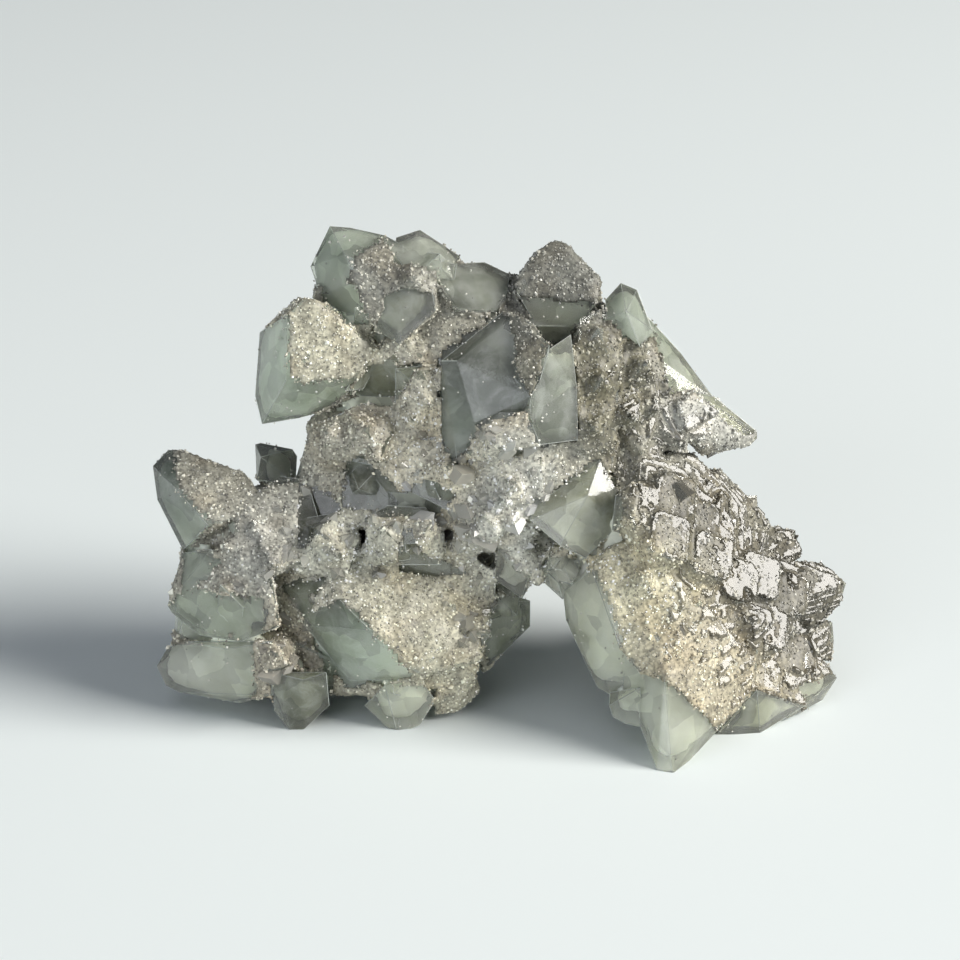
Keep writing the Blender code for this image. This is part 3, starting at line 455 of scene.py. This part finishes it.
def cloudy_apophyllite():
    """The cloudy growth seen through the clear skin: angular light and dark patches, painted light and shade
    such as inner faces give.
    """
    made, tree, output = new_material("cloudy apophyllite")
    place = add_node(tree, "ShaderNodeTexCoord").outputs["Object"]
    tint = add_node(tree, "ShaderNodeAttribute", {"attribute_name": "tint"})
    bend = add_node(tree, "ShaderNodeTexNoise", inputs={"Vector": place, "Scale": 300.0, "Detail": 2.0})
    bent = add_node(
        tree, "ShaderNodeMix", {"data_type": "RGBA", "blend_type": "LINEAR_LIGHT"},
        {0: 0.0012, 6: place, 7: bend.outputs["Color"]},
    )
    inner_faces = add_node(tree, "ShaderNodeTexVoronoi", inputs={"Vector": bent.outputs[2], "Scale": 330.0})
    tone = add_node(tree, "ShaderNodeSeparateColor", inputs={"Color": inner_faces.outputs["Color"]})
    patch = add_node(tree, "ShaderNodeMapRange", inputs={
        "Value": tone.outputs["Red"], "From Min": 0.0, "From Max": 1.0, "To Min": 0.66, "To Max": 1.2,
    })
    shade = add_node(
        tree, "ShaderNodeVectorMath", {"operation": "SCALE"},
        {"Vector": tint.outputs["Color"], "Scale": patch.outputs["Result"]},
    )
    surface = add_node(tree, "ShaderNodeBsdfPrincipled", inputs={
        "Base Color": shade.outputs["Vector"],
        "Roughness": 0.6,
    })
    tree.links.new(surface.outputs["BSDF"], output.inputs["Surface"])
    return made


def sugar_crust():
    """Druse, a crust of dust-fine crystals: pale and matt from its many facets, with fine random darker spots
    as painted shade in the pits between them.
    """
    made, tree, output = new_material("druse crust")
    place = add_node(tree, "ShaderNodeTexCoord").outputs["Object"]
    tint = add_node(tree, "ShaderNodeAttribute", {"attribute_name": "tint"})
    grit = add_node(tree, "ShaderNodeTexNoise", inputs={"Vector": place, "Scale": 2200.0, "Detail": 2.0})
    patch = add_node(tree, "ShaderNodeTexNoise", inputs={"Vector": place, "Scale": 320.0, "Detail": 4.0})
    # Fine random light and dark spots: the dark ones are painted shade in the pits between the grains.
    fine = add_node(
        tree, "ShaderNodeMapRange",
        inputs={
            "Value": grit.outputs["Fac"], "From Min": 0.3, "From Max": 0.65, "To Min": 0.45, "To Max": 1.15,
        },
    )
    broad = add_node(
        tree, "ShaderNodeMapRange",
        inputs={
            "Value": patch.outputs["Fac"], "From Min": 0.3, "From Max": 0.7, "To Min": 0.75, "To Max": 1.15,
        },
    )
    both = add_node(
        tree, "ShaderNodeMath", {"operation": "MULTIPLY"},
        {0: fine.outputs["Result"], 1: broad.outputs["Result"]},
    )
    shade = add_node(
        tree, "ShaderNodeVectorMath", {"operation": "SCALE"},
        {"Vector": tint.outputs["Color"], "Scale": both.outputs[0]},
    )
    surface = add_node(tree, "ShaderNodeBsdfPrincipled", inputs={
        "Base Color": shade.outputs["Vector"],
        "Roughness": 0.45,
        "IOR": 1.535,
    })
    tree.links.new(surface.outputs["BSDF"], output.inputs["Surface"])
    return made


def sugar_grain():
    """One druse crystal: a bright hard point whose small flat faces flash in the light."""
    made, tree, output = new_material("druse grains")
    tint = add_node(tree, "ShaderNodeAttribute", {"attribute_name": "tint"})
    surface = add_node(tree, "ShaderNodeBsdfPrincipled", inputs={
        "Base Color": tint.outputs["Color"],
        "Roughness": 0.12,
        "IOR": 1.6,
    })
    tree.links.new(surface.outputs["BSDF"], output.inputs["Surface"])
    return made


def clean_growth():
    """Parallel growth without crust: polished flat steps over a brownish body, which mirror the light."""
    made, tree, output = new_material("clean stepped growth")
    tint = add_node(tree, "ShaderNodeAttribute", {"attribute_name": "tint"})
    surface = add_node(tree, "ShaderNodeBsdfPrincipled", inputs={
        "Base Color": tint.outputs["Color"],
        "Roughness": 0.1,
        "IOR": 1.535,
    })
    tree.links.new(surface.outputs["BSDF"], output.inputs["Surface"])
    return made


def frosted_crystal():
    """Small clean crystal faces: glossy and half clear, so each mirrors the light or shows its tint."""
    made, tree, output = new_material("small clean crystals")
    tint = add_node(tree, "ShaderNodeAttribute", {"attribute_name": "tint"})
    surface = add_node(tree, "ShaderNodeBsdfPrincipled", inputs={
        "Base Color": tint.outputs["Color"],
        "Roughness": 0.07,
        "IOR": 1.535,
        "Transmission Weight": 0.6,
    })
    tree.links.new(surface.outputs["BSDF"], output.inputs["Surface"])
    return made


def worn_edge_with_highlight():
    """The worn sharp edges of the crystals: finely chipped, so they catch the light, and pale, partly as a
    painted highlight along each edge.
    """
    made, tree, output = new_material("worn crystal edges and painted highlights")
    tint = add_node(tree, "ShaderNodeAttribute", {"attribute_name": "tint"})
    surface = add_node(tree, "ShaderNodeBsdfPrincipled", inputs={
        "Base Color": tint.outputs["Color"],
        "Roughness": 0.2,
        "IOR": 1.535,
        "Transmission Weight": 0.5,
    })
    tree.links.new(surface.outputs["BSDF"], output.inputs["Surface"])
    return made


def floor_card():
    """Matt white card under the specimen."""
    made, tree, output = new_material("pale card")
    surface = add_node(tree, "ShaderNodeBsdfPrincipled", inputs={
        "Base Color": linear("#ebf2f3"),
        "Roughness": 0.9,
    })
    tree.links.new(surface.outputs["BSDF"], output.inputs["Surface"])
    return made


class CrystalSettings(bpy.types.PropertyGroup):
    """Sizes and looks of the clear crystals."""

    heart_depth: bpy.props.FloatProperty(
        name="Heart depth", description="How far below the skin the cloudy heart lies",
        default=0.0008, unit="LENGTH",
    )
    heart_step: bpy.props.FloatProperty(
        name="Heart step", description="Width of the heart's mesh", default=0.0009, unit="LENGTH", precision=5
    )
    heart_light: bpy.props.FloatProperty(
        name="Heart light", description="How much paler the heart is than the tints of the clear faces",
        default=1.9,
    )
    skin_light: bpy.props.FloatProperty(
        name="Skin light", description="How much paler the skin is than the tints of the clear faces",
        default=1.65,
    )
    edge_width: bpy.props.FloatProperty(
        name="Edge width", description="Half width of a worn edge",
        default=0.000045, unit="LENGTH", precision=5,
    )
    clearness: bpy.props.FloatProperty(
        name="Clearness", description="Share of the light that passes through the skin",
        default=0.8, min=0.0, max=1.0,
    )
    clearness_loss: bpy.props.FloatProperty(
        name="Absorption", description="Light lost in each metre of crystal", default=8.0, min=0.0
    )


class CrustSettings(bpy.types.PropertyGroup):
    """Sizes of the sugar crust and of the small crystals on it."""

    step: bpy.props.FloatProperty(
        name="Crust step", description="Width of the crust's mesh", default=0.0006, unit="LENGTH", precision=5
    )
    height: bpy.props.FloatProperty(
        name="Crust height", description="How far the crust stands out",
        default=0.00016, unit="LENGTH", precision=5,
    )
    relief: bpy.props.FloatProperty(
        name="Relief", description="Height of the crust's bumps", default=0.00014, unit="LENGTH", precision=5
    )
    grain_size: bpy.props.FloatProperty(
        name="Grain size", description="Half width of a small crystal",
        default=0.00012, unit="LENGTH", precision=5,
    )
    specks: bpy.props.IntProperty(
        name="Specks", description="How many small crystals lie on the clear faces", default=1000, min=1
    )
    grains: bpy.props.IntProperty(name="Grains", description="How many small crystals", default=66000, min=0)


class SmallSettings(bpy.types.PropertyGroup):
    """The small square crystals."""

    count: bpy.props.IntProperty(name="Count", description="How many small crystals", default=520, min=1)
    half_width: bpy.props.FloatProperty(
        name="Half width", description="Usual half width of a small crystal",
        default=0.00055, unit="LENGTH", precision=5,
    )


class TerraceSettings(bpy.types.PropertyGroup):
    """The stepped growth on the right body."""

    mesh_step: bpy.props.FloatProperty(
        name="Mesh step", description="Width of the stepped mesh", default=0.00024, unit="LENGTH", precision=5
    )
    height: bpy.props.FloatProperty(
        name="Height", description="How far the growth stands out",
        default=0.00022, unit="LENGTH", precision=5,
    )
    step_height: bpy.props.FloatProperty(
        name="Step height", description="From one flat top to the next",
        default=0.0006, unit="LENGTH", precision=5,
    )
    bareness: bpy.props.FloatProperty(
        name="Bareness", description="Higher leaves more crust between the patches", default=0.8
    )
    grains: bpy.props.IntProperty(
        name="Grains", description="How many small crystals lie on the steps", default=5000, min=1
    )


class StageSettings(bpy.types.PropertyGroup):
    """The light round the specimen."""

    key_power: bpy.props.FloatProperty(
        name="Key light", description="Power of the key light",
        default=92.0, unit="POWER",
    )
    fill: bpy.props.FloatProperty(
        name="Fill", description="Brightness of the light from all round",
        default=0.125,
    )
    front_power: bpy.props.FloatProperty(
        name="Front light", description="Power of the low light on the viewer's left",
        default=14.0, unit="POWER",
    )


class SPECIMEN_OT_crystals(bpy.types.Operator):
    """Makes the clear crystals and the cloudy heart inside them"""

    bl_idname = "specimen.crystals"
    bl_label = "Clear crystals"

    def execute(self, context):
        settings = context.scene.specimen_crystals
        points, triangles = solid_arrays()
        skin = put_mesh("clear_crystals", points, triangles, clear_apophyllite(settings))
        # The skin's tints are made paler by skin_light: painted light that brightens the skin as a whole.
        set_point_colours(skin, lightened(clear_colours(points), settings.skin_light))
        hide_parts(NODE)

        points, quads = grown_surface(-settings.heart_depth, settings.heart_step)
        normals = point_normals(points, quads)
        points = points + normals * (wobble(points, 3 * MM, 21) * 0.15 * MM)[:, None]
        heart = put_mesh("cloudy_heart", points, quads, cloudy_apophyllite(), smooth=True)
        # The heart's tints are made paler by heart_light: painted light, in place of the direct light that
        # the glass keeps off it.
        set_point_colours(heart, lightened(clear_colours(points), settings.heart_light))

        points, triangles, colours = edge_bars(settings.edge_width)
        edges = put_mesh("crystal_edges", points, triangles, worn_edge_with_highlight())
        set_point_colours(edges, colours)
        return {"FINISHED"}


def edge_bars(width):
    """Thin three-sided bars along the clear crystals' sharp outer edges, in place of worn corners' bevels.

    An edge takes one if its two faces turn away from each other by more than 25 degrees, it is over half a
    millimetre long and its middle is uncoated. Each bar's ridge stands out along the mean of the two faces'
    normals, and each has a random paleness: partly the white of a chipped edge, partly a painted highlight.
    """
    corners, triangles = solid_arrays()
    a, b, c = (corners[triangles[:, side]] for side in range(3))
    normals = np.cross(b - a, c - a)
    normals /= np.maximum(np.linalg.norm(normals, axis=1), 1e-15)[:, None]
    edges = np.vstack([triangles[:, [side, (side + 1) % 3]] for side in range(3)])
    faces = np.tile(np.arange(len(triangles)), 3)
    order = np.lexsort(np.sort(edges, axis=1).T)
    first, second = order[0::2], order[1::2]
    one, other = faces[first], faces[second]
    start, end = corners[edges[first, 0]], corners[edges[first, 1]]
    middle = (start + end) / 2
    mean = normals[one] + normals[other]
    size = np.linalg.norm(mean, axis=1)
    away = mean / np.maximum(size, 1e-9)[:, None]
    outward = ((triangles_middles(corners, triangles)[other] - middle) * normals[one]).sum(axis=1) < 0
    long_way = np.linalg.norm(end - start, axis=1)
    turned = (normals[one] * normals[other]).sum(axis=1) < math.cos(EDGE_TURN)
    kept = outward & turned & (long_way > EDGE_SHORTEST) & (size > 0.3) & (coating(middle, away) < 0)
    start, end, away = start[kept], end[kept], away[kept]
    side = np.cross(end - start, away)
    side /= np.linalg.norm(side, axis=1)[:, None]
    scatter = np.random.default_rng(43)
    wide = width * scatter.uniform(0.4, 1.3, (len(start), 1))
    ring = [away * wide * 0.6, side * wide - away * wide * 0.5, -side * wide - away * wide * 0.5]
    points = np.stack([end_point + offset for end_point in (start, end) for offset in ring], axis=1)
    shape = np.array([(0, 2, 1), (3, 4, 5), (0, 1, 4), (0, 4, 3), (1, 2, 5), (1, 5, 4), (2, 0, 3), (2, 3, 5)])
    bars = (shape[None] + 6 * np.arange(len(start))[:, None, None]).reshape(-1, 3)
    # A random paleness: partly chipped white, partly a painted highlight along the edge.
    pale = scatter.uniform(0.55, 0.95, (len(start), 1)) * np.array([0.95, 1.0, 0.94])
    return points.reshape(-1, 3), bars, np.repeat(pale, 6, axis=0)


def triangles_middles(corners, triangles):
    """The mean of each triangle's corners."""
    return corners[triangles].mean(axis=1)


def shell_of(outer, under, kept):
    """A closed shell: the kept faces at their outer points, the same faces turned round at their under
    points, and a wall along every edge that only one kept face has."""
    used, flat = np.unique(kept, return_inverse=True)
    faces = flat.reshape(kept.shape)
    total = len(used)
    edges = np.concatenate([faces[:, [side, (side + 1) % 4]] for side in range(4)])
    _, index, count = np.unique(np.sort(edges, axis=1), axis=0, return_inverse=True, return_counts=True)
    rim = edges[count[index.reshape(-1)] == 1]
    walls = np.stack([rim[:, 1], rim[:, 0], rim[:, 0] + total, rim[:, 1] + total], axis=1)
    return np.vstack([outer[used], under[used]]), np.vstack([faces, faces[:, ::-1] + total, walls])


def crust_surface(settings):
    """The skin grown by the crust's height, roughened by two sizes of bumps, and how coated each point is."""
    points, quads = grown_surface(settings.height, settings.step)
    normals = point_normals(points, quads)
    bumps = wobble(points, 0.9 * MM, 41) * 0.5 + wobble(points, 2.2 * MM, 42) * 0.7
    outer = points + normals * (settings.relief * bumps)[:, None]
    return points, outer, quads, normals, coating(points, normals)


def crust_colours(points):
    """The crust's tints, mottled in two sizes and a little browner in some patches."""
    mottle = 1 + 0.13 * wobble(points, 3.5 * MM, 51) + 0.1 * wobble(points, 1.2 * MM, 52)
    brown = np.clip(wobble(points, 5 * MM, 53), 0, 1)[:, None] * np.array([0.0, 0.04, 0.09])
    tints = greyer(tinted(points, CRUST_TINTS_AND_SHADING, CRUST_REACH), 0.1)
    return np.clip(tints * mottle[:, None] * (1 - brown), 0.02, 0.95)


# A grain's shade against the crust's tint, and how many grains have each. The lightest, 2.2, is a painted
# glint.
GRAIN_SHADES = [0.35, 0.75, 1.1, 2.2]
GRAIN_SHARES = [0.27, 0.34, 0.24, 0.15]
# The white mixed into the grains' colours: painted glints.
GRAIN_GLINT_WHITE = np.array([1.0, 0.98, 0.92])
OCTAHEDRON = np.array([(1, 0, 0), (-1, 0, 0), (0, 1, 0), (0, -1, 0), (0, 0, 1), (0, 0, -1)], float)
OCTAHEDRON_FACES = np.array([
    (0, 2, 4), (2, 1, 4), (1, 3, 4), (3, 0, 4), (2, 0, 5), (1, 2, 5), (3, 1, 5), (0, 3, 5)
])


def grain_pieces(name, count, batches, surface, weights, settings, scatter, glint_whiteness=0.25):
    """Small crystals of the crust, in separate pieces: octahedra turned at random, some of them large.

    Their base colours are random too: dark, middling and light grains, and nearly white ones that are painted
    glints, as are the large ones.
    """
    outer, quads, normals = surface
    material = sugar_grain()
    for batch in range(batches):
        face, shares = scattered(outer, quads, weights, count, scatter)
        near = quads[face]
        place = (outer[near] * shares[:, :, None]).sum(axis=1)
        away = (normals[near] * shares[:, :, None]).sum(axis=1)
        large = scatter.uniform(size=count) < 0.08
        size = settings.grain_size * scatter.lognormal(0, 0.25, count) * np.where(large, 1.7, 1.0)
        shape = OCTAHEDRON * size[:, None, None] * scatter.uniform(0.7, 1.3, (count, 1, 3))
        turned = np.einsum("nij,nkj->nki", random_turns(count, scatter), shape)
        corners = turned + (place + away * (size * 0.1)[:, None])[:, None, :]
        grains = (OCTAHEDRON_FACES[None] + 6 * np.arange(count)[:, None, None]).reshape(-1, 3)
        made = put_mesh(f"{name}_{batch + 1}", corners.reshape(-1, 3), grains, material)
        shade = scatter.choice(GRAIN_SHADES, count, p=GRAIN_SHARES)
        # Large grains are made light: painted glints.
        shade = np.where(large, 1.9, shade)
        colours = crust_colours(place) * shade[:, None]
        # Mixing in white paints glints on the grains.
        white = glint_whiteness * np.minimum(shade, 1)[:, None] * GRAIN_GLINT_WHITE
        colours = np.clip(colours * (1 - glint_whiteness) + white, 0, 0.95)
        set_point_colours(made, np.repeat(colours, 6, axis=0))


def random_turns(count, scatter):
    """Evenly random rotation matrices, from four normal numbers each, taken as a quaternion."""
    w, x, y, z = (q := scatter.normal(size=(4, count))) / np.linalg.norm(q, axis=0)
    return np.stack([
        1 - 2 * (y * y + z * z), 2 * (x * y - z * w), 2 * (x * z + y * w),
        2 * (x * y + z * w), 1 - 2 * (x * x + z * z), 2 * (y * z - x * w),
        2 * (x * z - y * w), 2 * (y * z + x * w), 1 - 2 * (x * x + y * y),
    ], axis=1).reshape(-1, 3, 3)


def scattered(points, quads, weights, count, scatter):
    """Random places, as the face and the share of each corner: faces are drawn by area and weight."""
    a, b, c, d = (points[quads[:, side]] for side in range(4))
    area = np.linalg.norm(np.cross(c - a, d - b), axis=1) / 2 * weights[quads].mean(axis=1).clip(0, 1)
    face = scatter.choice(len(quads), count, p=area / area.sum())
    u, v = scatter.uniform(size=(2, count, 1))
    shares = np.hstack([(1 - u) * (1 - v), u * (1 - v), u * v, (1 - u) * v])
    return face, shares


class SPECIMEN_OT_crust(bpy.types.Operator):
    """Makes the sugar crust and the small crystals on it"""

    bl_idname = "specimen.crust"
    bl_label = "Sugar crust"

    def execute(self, context):
        settings = context.scene.specimen_crust
        points, outer, quads, normals, strength = crust_surface(settings)
        under = points - normals * (settings.height + 0.25 * MM)
        corners, faces = shell_of(outer, under, quads[(strength[quads] > 0).all(axis=1)])
        shell = put_mesh("sugar_crust", corners, faces, sugar_crust(), smooth=True)
        set_point_colours(shell, crust_colours(corners))
        surface = (outer, quads, normals)
        weights = (strength > -0.2) * 1.0
        scatter = np.random.default_rng(7)
        grain_pieces("sugar_grains", settings.grains // 3, 3, surface, weights, settings, scatter)
        # The specks on the clear faces are nearly white: painted glints.
        specks = (strength < 0) * np.clip(wobble(points, 7 * MM, 61) + 0.3, 0.05, 1)
        grain_pieces("glint_specks_on_clear_faces", settings.specks, 1, surface, specks, settings, scatter, 0.85)
        return {"FINISHED"}


def tipped_crystals(places, axes, half_widths, scatter):
    """Small square crystals: a prism under four steep kite faces that lie over its edges and meet in a point.

    With a half width of 1, the point is at 0 and the kites' side corners are at -1.245, on the middles of the
    prism's faces. Their low corners are at -2.49 on its edges, and the prism ends at -5, under the surface.
    """
    mid, low, end = -1.245, -2.49, -5.0
    shape = np.array([
        (0, 0, 0), (1, 0, mid), (0, 1, mid), (-1, 0, mid), (0, -1, mid),
        (1, 1, low), (-1, 1, low), (-1, -1, low), (1, -1, low),
        (1, 1, end), (-1, 1, end), (-1, -1, end), (1, -1, end),
    ])
    faces = [(9, 11, 10), (9, 12, 11)]
    for side in range(4):
        after = (side + 1) % 4
        faces += [(0, 1 + side, 5 + side), (0, 5 + side, 1 + after)]
        faces += [(1 + after, 5 + side, 5 + after)]
        faces += [(5 + side, 9 + side, 5 + after), (9 + side, 9 + after, 5 + after)]
    count = len(places)
    side_way = np.cross(axes, scatter.normal(size=(count, 3)))
    side_way /= np.linalg.norm(side_way, axis=1)[:, None]
    turns = np.stack([side_way, np.cross(axes, side_way), axes], axis=2)
    corners = np.einsum("nij,kj->nki", turns, shape) * half_widths[:, None, None] + places[:, None, :]
    triangles = np.array(faces)[None] + 13 * np.arange(count)[:, None, None]
    return corners.reshape(-1, 3), triangles.reshape(-1, 3)


def surface_places(count, fields, scatter, step=0.0008):
    """Random places on the solid's front near the named fields' middles, with the surface's normals there."""
    points, quads = grown_surface(0.0, step)
    normals = point_normals(points, quads)
    places, _ = seen_from_front(points)
    to_eye = np.array([0, -math.cos(VIEW_TILT), math.sin(VIEW_TILT)])
    weights = np.zeros(len(points))
    for centre, reach, share in fields.values():
        away = ((places - np.array(centre)) ** 2).sum(axis=1) / reach**2
        weights = np.maximum(weights, share * (away < 1))
    weights = np.where(normals @ to_eye > -0.1, weights, 0.25 * (normals @ to_eye < -0.1))
    weights = weights * (coating(points, normals) > 0)
    face, shares = scattered(points, quads, weights, count, scatter)
    near = quads[face]
    return (points[near] * shares[:, :, None]).sum(axis=1), (normals[near] * shares[:, :, None]).sum(axis=1)


class SPECIMEN_OT_small_crystals(bpy.types.Operator):
    """Makes the small square crystals that stand in the crust"""

    bl_idname = "specimen.small_crystals"
    bl_label = "Small crystals"

    def execute(self, context):
        settings = context.scene.specimen_small
        scatter = np.random.default_rng(17)
        places, normals = surface_places(settings.count, SMALL_FIELDS, scatter)
        axes = normals + scatter.normal(0, 0.35, places.shape)
        axes /= np.linalg.norm(axes, axis=1)[:, None]
        widths = settings.half_width * scatter.lognormal(0, 0.35, len(places))
        points, faces = tipped_crystals(places + axes * (widths * 1.3)[:, None], axes, widths, scatter)
        made = put_mesh("small_crystals", points, faces, frosted_crystal())
        colours = greyer(tinted(places, CRUST_TINTS_AND_SHADING, 30), 0.5) * scatter.uniform(1.1, 1.7, (len(places), 1))
        set_point_colours(made, np.repeat(np.clip(colours, 0, 0.9), 13, axis=0))
        return {"FINISHED"}


class SPECIMEN_OT_terraces(bpy.types.Operator):
    """Makes the stepped growth on the right body, whose parallel flat tops flash white"""

    bl_idname = "specimen.terraces"
    bl_label = "Stepped growth"

    def execute(self, context):
        settings = context.scene.specimen_terraces
        points, quads = grown_surface(settings.height, settings.mesh_step)
        normals = point_normals(points, quads)
        places, _ = seen_from_front(points)
        covered = np.zeros(len(points))
        for centre, reach in STEPPED_FIELDS.values():
            away = np.sqrt(((places - np.array(centre)) ** 2).sum(axis=1)) / reach
            covered = np.maximum(covered, 1 - away)
        facing = normals @ np.array(STEP_FACE)
        patches = wobble(points, 3.2 * MM, 71) + 0.7 * wobble(points, 1.1 * MM, 72)
        kept = (covered * 3 + patches > settings.bareness) & (facing > 0.55) & (coating(points, normals) > 0)
        kept &= covered > 0
        rough = points + normals * (0.02 * MM * wobble(points, 1.6 * MM, 73))[:, None]
        level = rough @ np.array(STEP_FACE) / settings.step_height + 0.12 * wobble(points, 6 * MM, 74)
        whole = np.floor(level)
        share = np.clip((level - whole - 0.5) / 0.1 + 0.5, 0, 1)
        lift = (whole + share * share * (3 - 2 * share) - level) * settings.step_height
        stepped = rough + np.array(STEP_FACE) * lift[:, None]
        under = points - normals * (settings.height + 0.5 * MM)
        corners, faces = shell_of(stepped, under, quads[kept[quads].all(axis=1)])
        made = put_mesh("stepped_growth", corners, faces, clean_growth(), smooth=True)
        set_point_colours(made, crust_colours(corners) * STEP_SHADE)
        pits = kept * np.clip(wobble(points, 1.5 * MM, 75) + 0.15, 0, 1)
        scatter = np.random.default_rng(29)
        crust = context.scene.specimen_crust
        surface = (stepped, quads, normals)
        # These grains are half white: painted glints.
        grain_pieces("grains_on_steps", settings.grains, 1, surface, pits, crust, scatter, 0.5)
        return {"FINISHED"}


class SPECIMEN_OT_stage(bpy.types.Operator):
    """Makes the floor, the lights and the camera at the photograph's place"""

    bl_idname = "specimen.stage"
    bl_label = "Stage"

    def execute(self, context):
        settings = context.scene.specimen_stage
        side = 3.0
        corners = np.array([(-side, -side, 0), (side, -side, 0), (side, side, 0), (-side, side, 0)])
        mesh = bpy.data.meshes.new("floor")
        mesh.from_pydata(corners.tolist(), [], [(0, 1, 2, 3)])
        mesh.materials.append(floor_card())
        floor = bpy.data.objects.new("floor", mesh)
        context.scene.collection.objects.link(floor)

        add_soft_light("key", (2.0, -0.55, 1.35), 1.4, settings.key_power, "#fffcf6")
        add_soft_light("top", (-0.6, -0.9, 2.2), 1.6, settings.key_power * 0.06, "#f6f9ff")
        add_soft_light("front", (-0.95, -1.7, 0.42), 1.3, settings.front_power, "#f4f8ff")

        world = bpy.data.worlds.new("studio")
        world.use_nodes = True
        sky = world.node_tree.nodes["Background"]
        sky.inputs["Color"].default_value = linear("#dfe8f2")
        sky.inputs["Strength"].default_value = settings.fill
        context.scene.world = world

        back = Vector((0, -math.cos(VIEW_TILT), math.sin(VIEW_TILT)))
        lens = bpy.data.cameras.new("camera")
        lens.sensor_width = SENSOR
        lens.lens = SENSOR * EYE_DISTANCE / PICTURE_WIDTH
        lens.clip_start = 0.01
        camera = bpy.data.objects.new("camera", lens)
        camera.location = VIEW_MIDDLE + back * EYE_DISTANCE
        camera.rotation_euler = (-back).to_track_quat("-Z", "Y").to_euler()
        context.scene.collection.objects.link(camera)
        context.scene.camera = camera
        context.scene.view_settings.view_transform = "Standard"
        return {"FINISHED"}


def add_soft_light(name, place, size, power, colour):
    """A square soft light that looks at the specimen."""
    data = bpy.data.lights.new(name, "AREA")
    data.size = size
    data.energy = power
    data.color = linear(colour)[:3]
    made = bpy.data.objects.new(name, data)
    made.location = place
    made.rotation_euler = (VIEW_MIDDLE - Vector(place)).to_track_quat("-Z", "Y").to_euler()
    bpy.context.scene.collection.objects.link(made)
    return made


class SPECIMEN_PT_panel(bpy.types.Panel):
    """Lists the specimen's pieces and their settings"""

    bl_label = "Apophyllite specimen"
    bl_idname = "SPECIMEN_PT_panel"
    bl_space_type = "VIEW_3D"
    bl_region_type = "UI"
    bl_category = "Specimen"

    def draw(self, context):
        groups = (
            (context.scene.specimen_crystals, SPECIMEN_OT_crystals),
            (context.scene.specimen_crust, SPECIMEN_OT_crust),
            (context.scene.specimen_small, SPECIMEN_OT_small_crystals),
            (context.scene.specimen_terraces, SPECIMEN_OT_terraces),
            (context.scene.specimen_stage, SPECIMEN_OT_stage),
        )
        for settings, operator in groups:
            box = self.layout.box()
            box.operator(operator.bl_idname)
            for name in settings.__annotations__:
                box.prop(settings, name)


CLASSES = (
    CrystalSettings,
    CrustSettings,
    SmallSettings,
    TerraceSettings,
    StageSettings,
    SPECIMEN_OT_crystals,
    SPECIMEN_OT_crust,
    SPECIMEN_OT_small_crystals,
    SPECIMEN_OT_terraces,
    SPECIMEN_OT_stage,
    SPECIMEN_PT_panel,
)


def register():
    for kind in CLASSES:
        bpy.utils.register_class(kind)
    bpy.types.Scene.specimen_crystals = bpy.props.PointerProperty(type=CrystalSettings)
    bpy.types.Scene.specimen_crust = bpy.props.PointerProperty(type=CrustSettings)
    bpy.types.Scene.specimen_small = bpy.props.PointerProperty(type=SmallSettings)
    bpy.types.Scene.specimen_terraces = bpy.props.PointerProperty(type=TerraceSettings)
    bpy.types.Scene.specimen_stage = bpy.props.PointerProperty(type=StageSettings)


def unregister():
    del bpy.types.Scene.specimen_stage
    del bpy.types.Scene.specimen_terraces
    del bpy.types.Scene.specimen_small
    del bpy.types.Scene.specimen_crust
    del bpy.types.Scene.specimen_crystals
    for kind in reversed(CLASSES):
        bpy.utils.unregister_class(kind)


def main():
    register()
    bpy.ops.specimen.crystals()
    bpy.ops.specimen.crust()
    bpy.ops.specimen.small_crystals()
    bpy.ops.specimen.terraces()
    bpy.ops.specimen.stage()


if __name__ == "__main__":
    main()
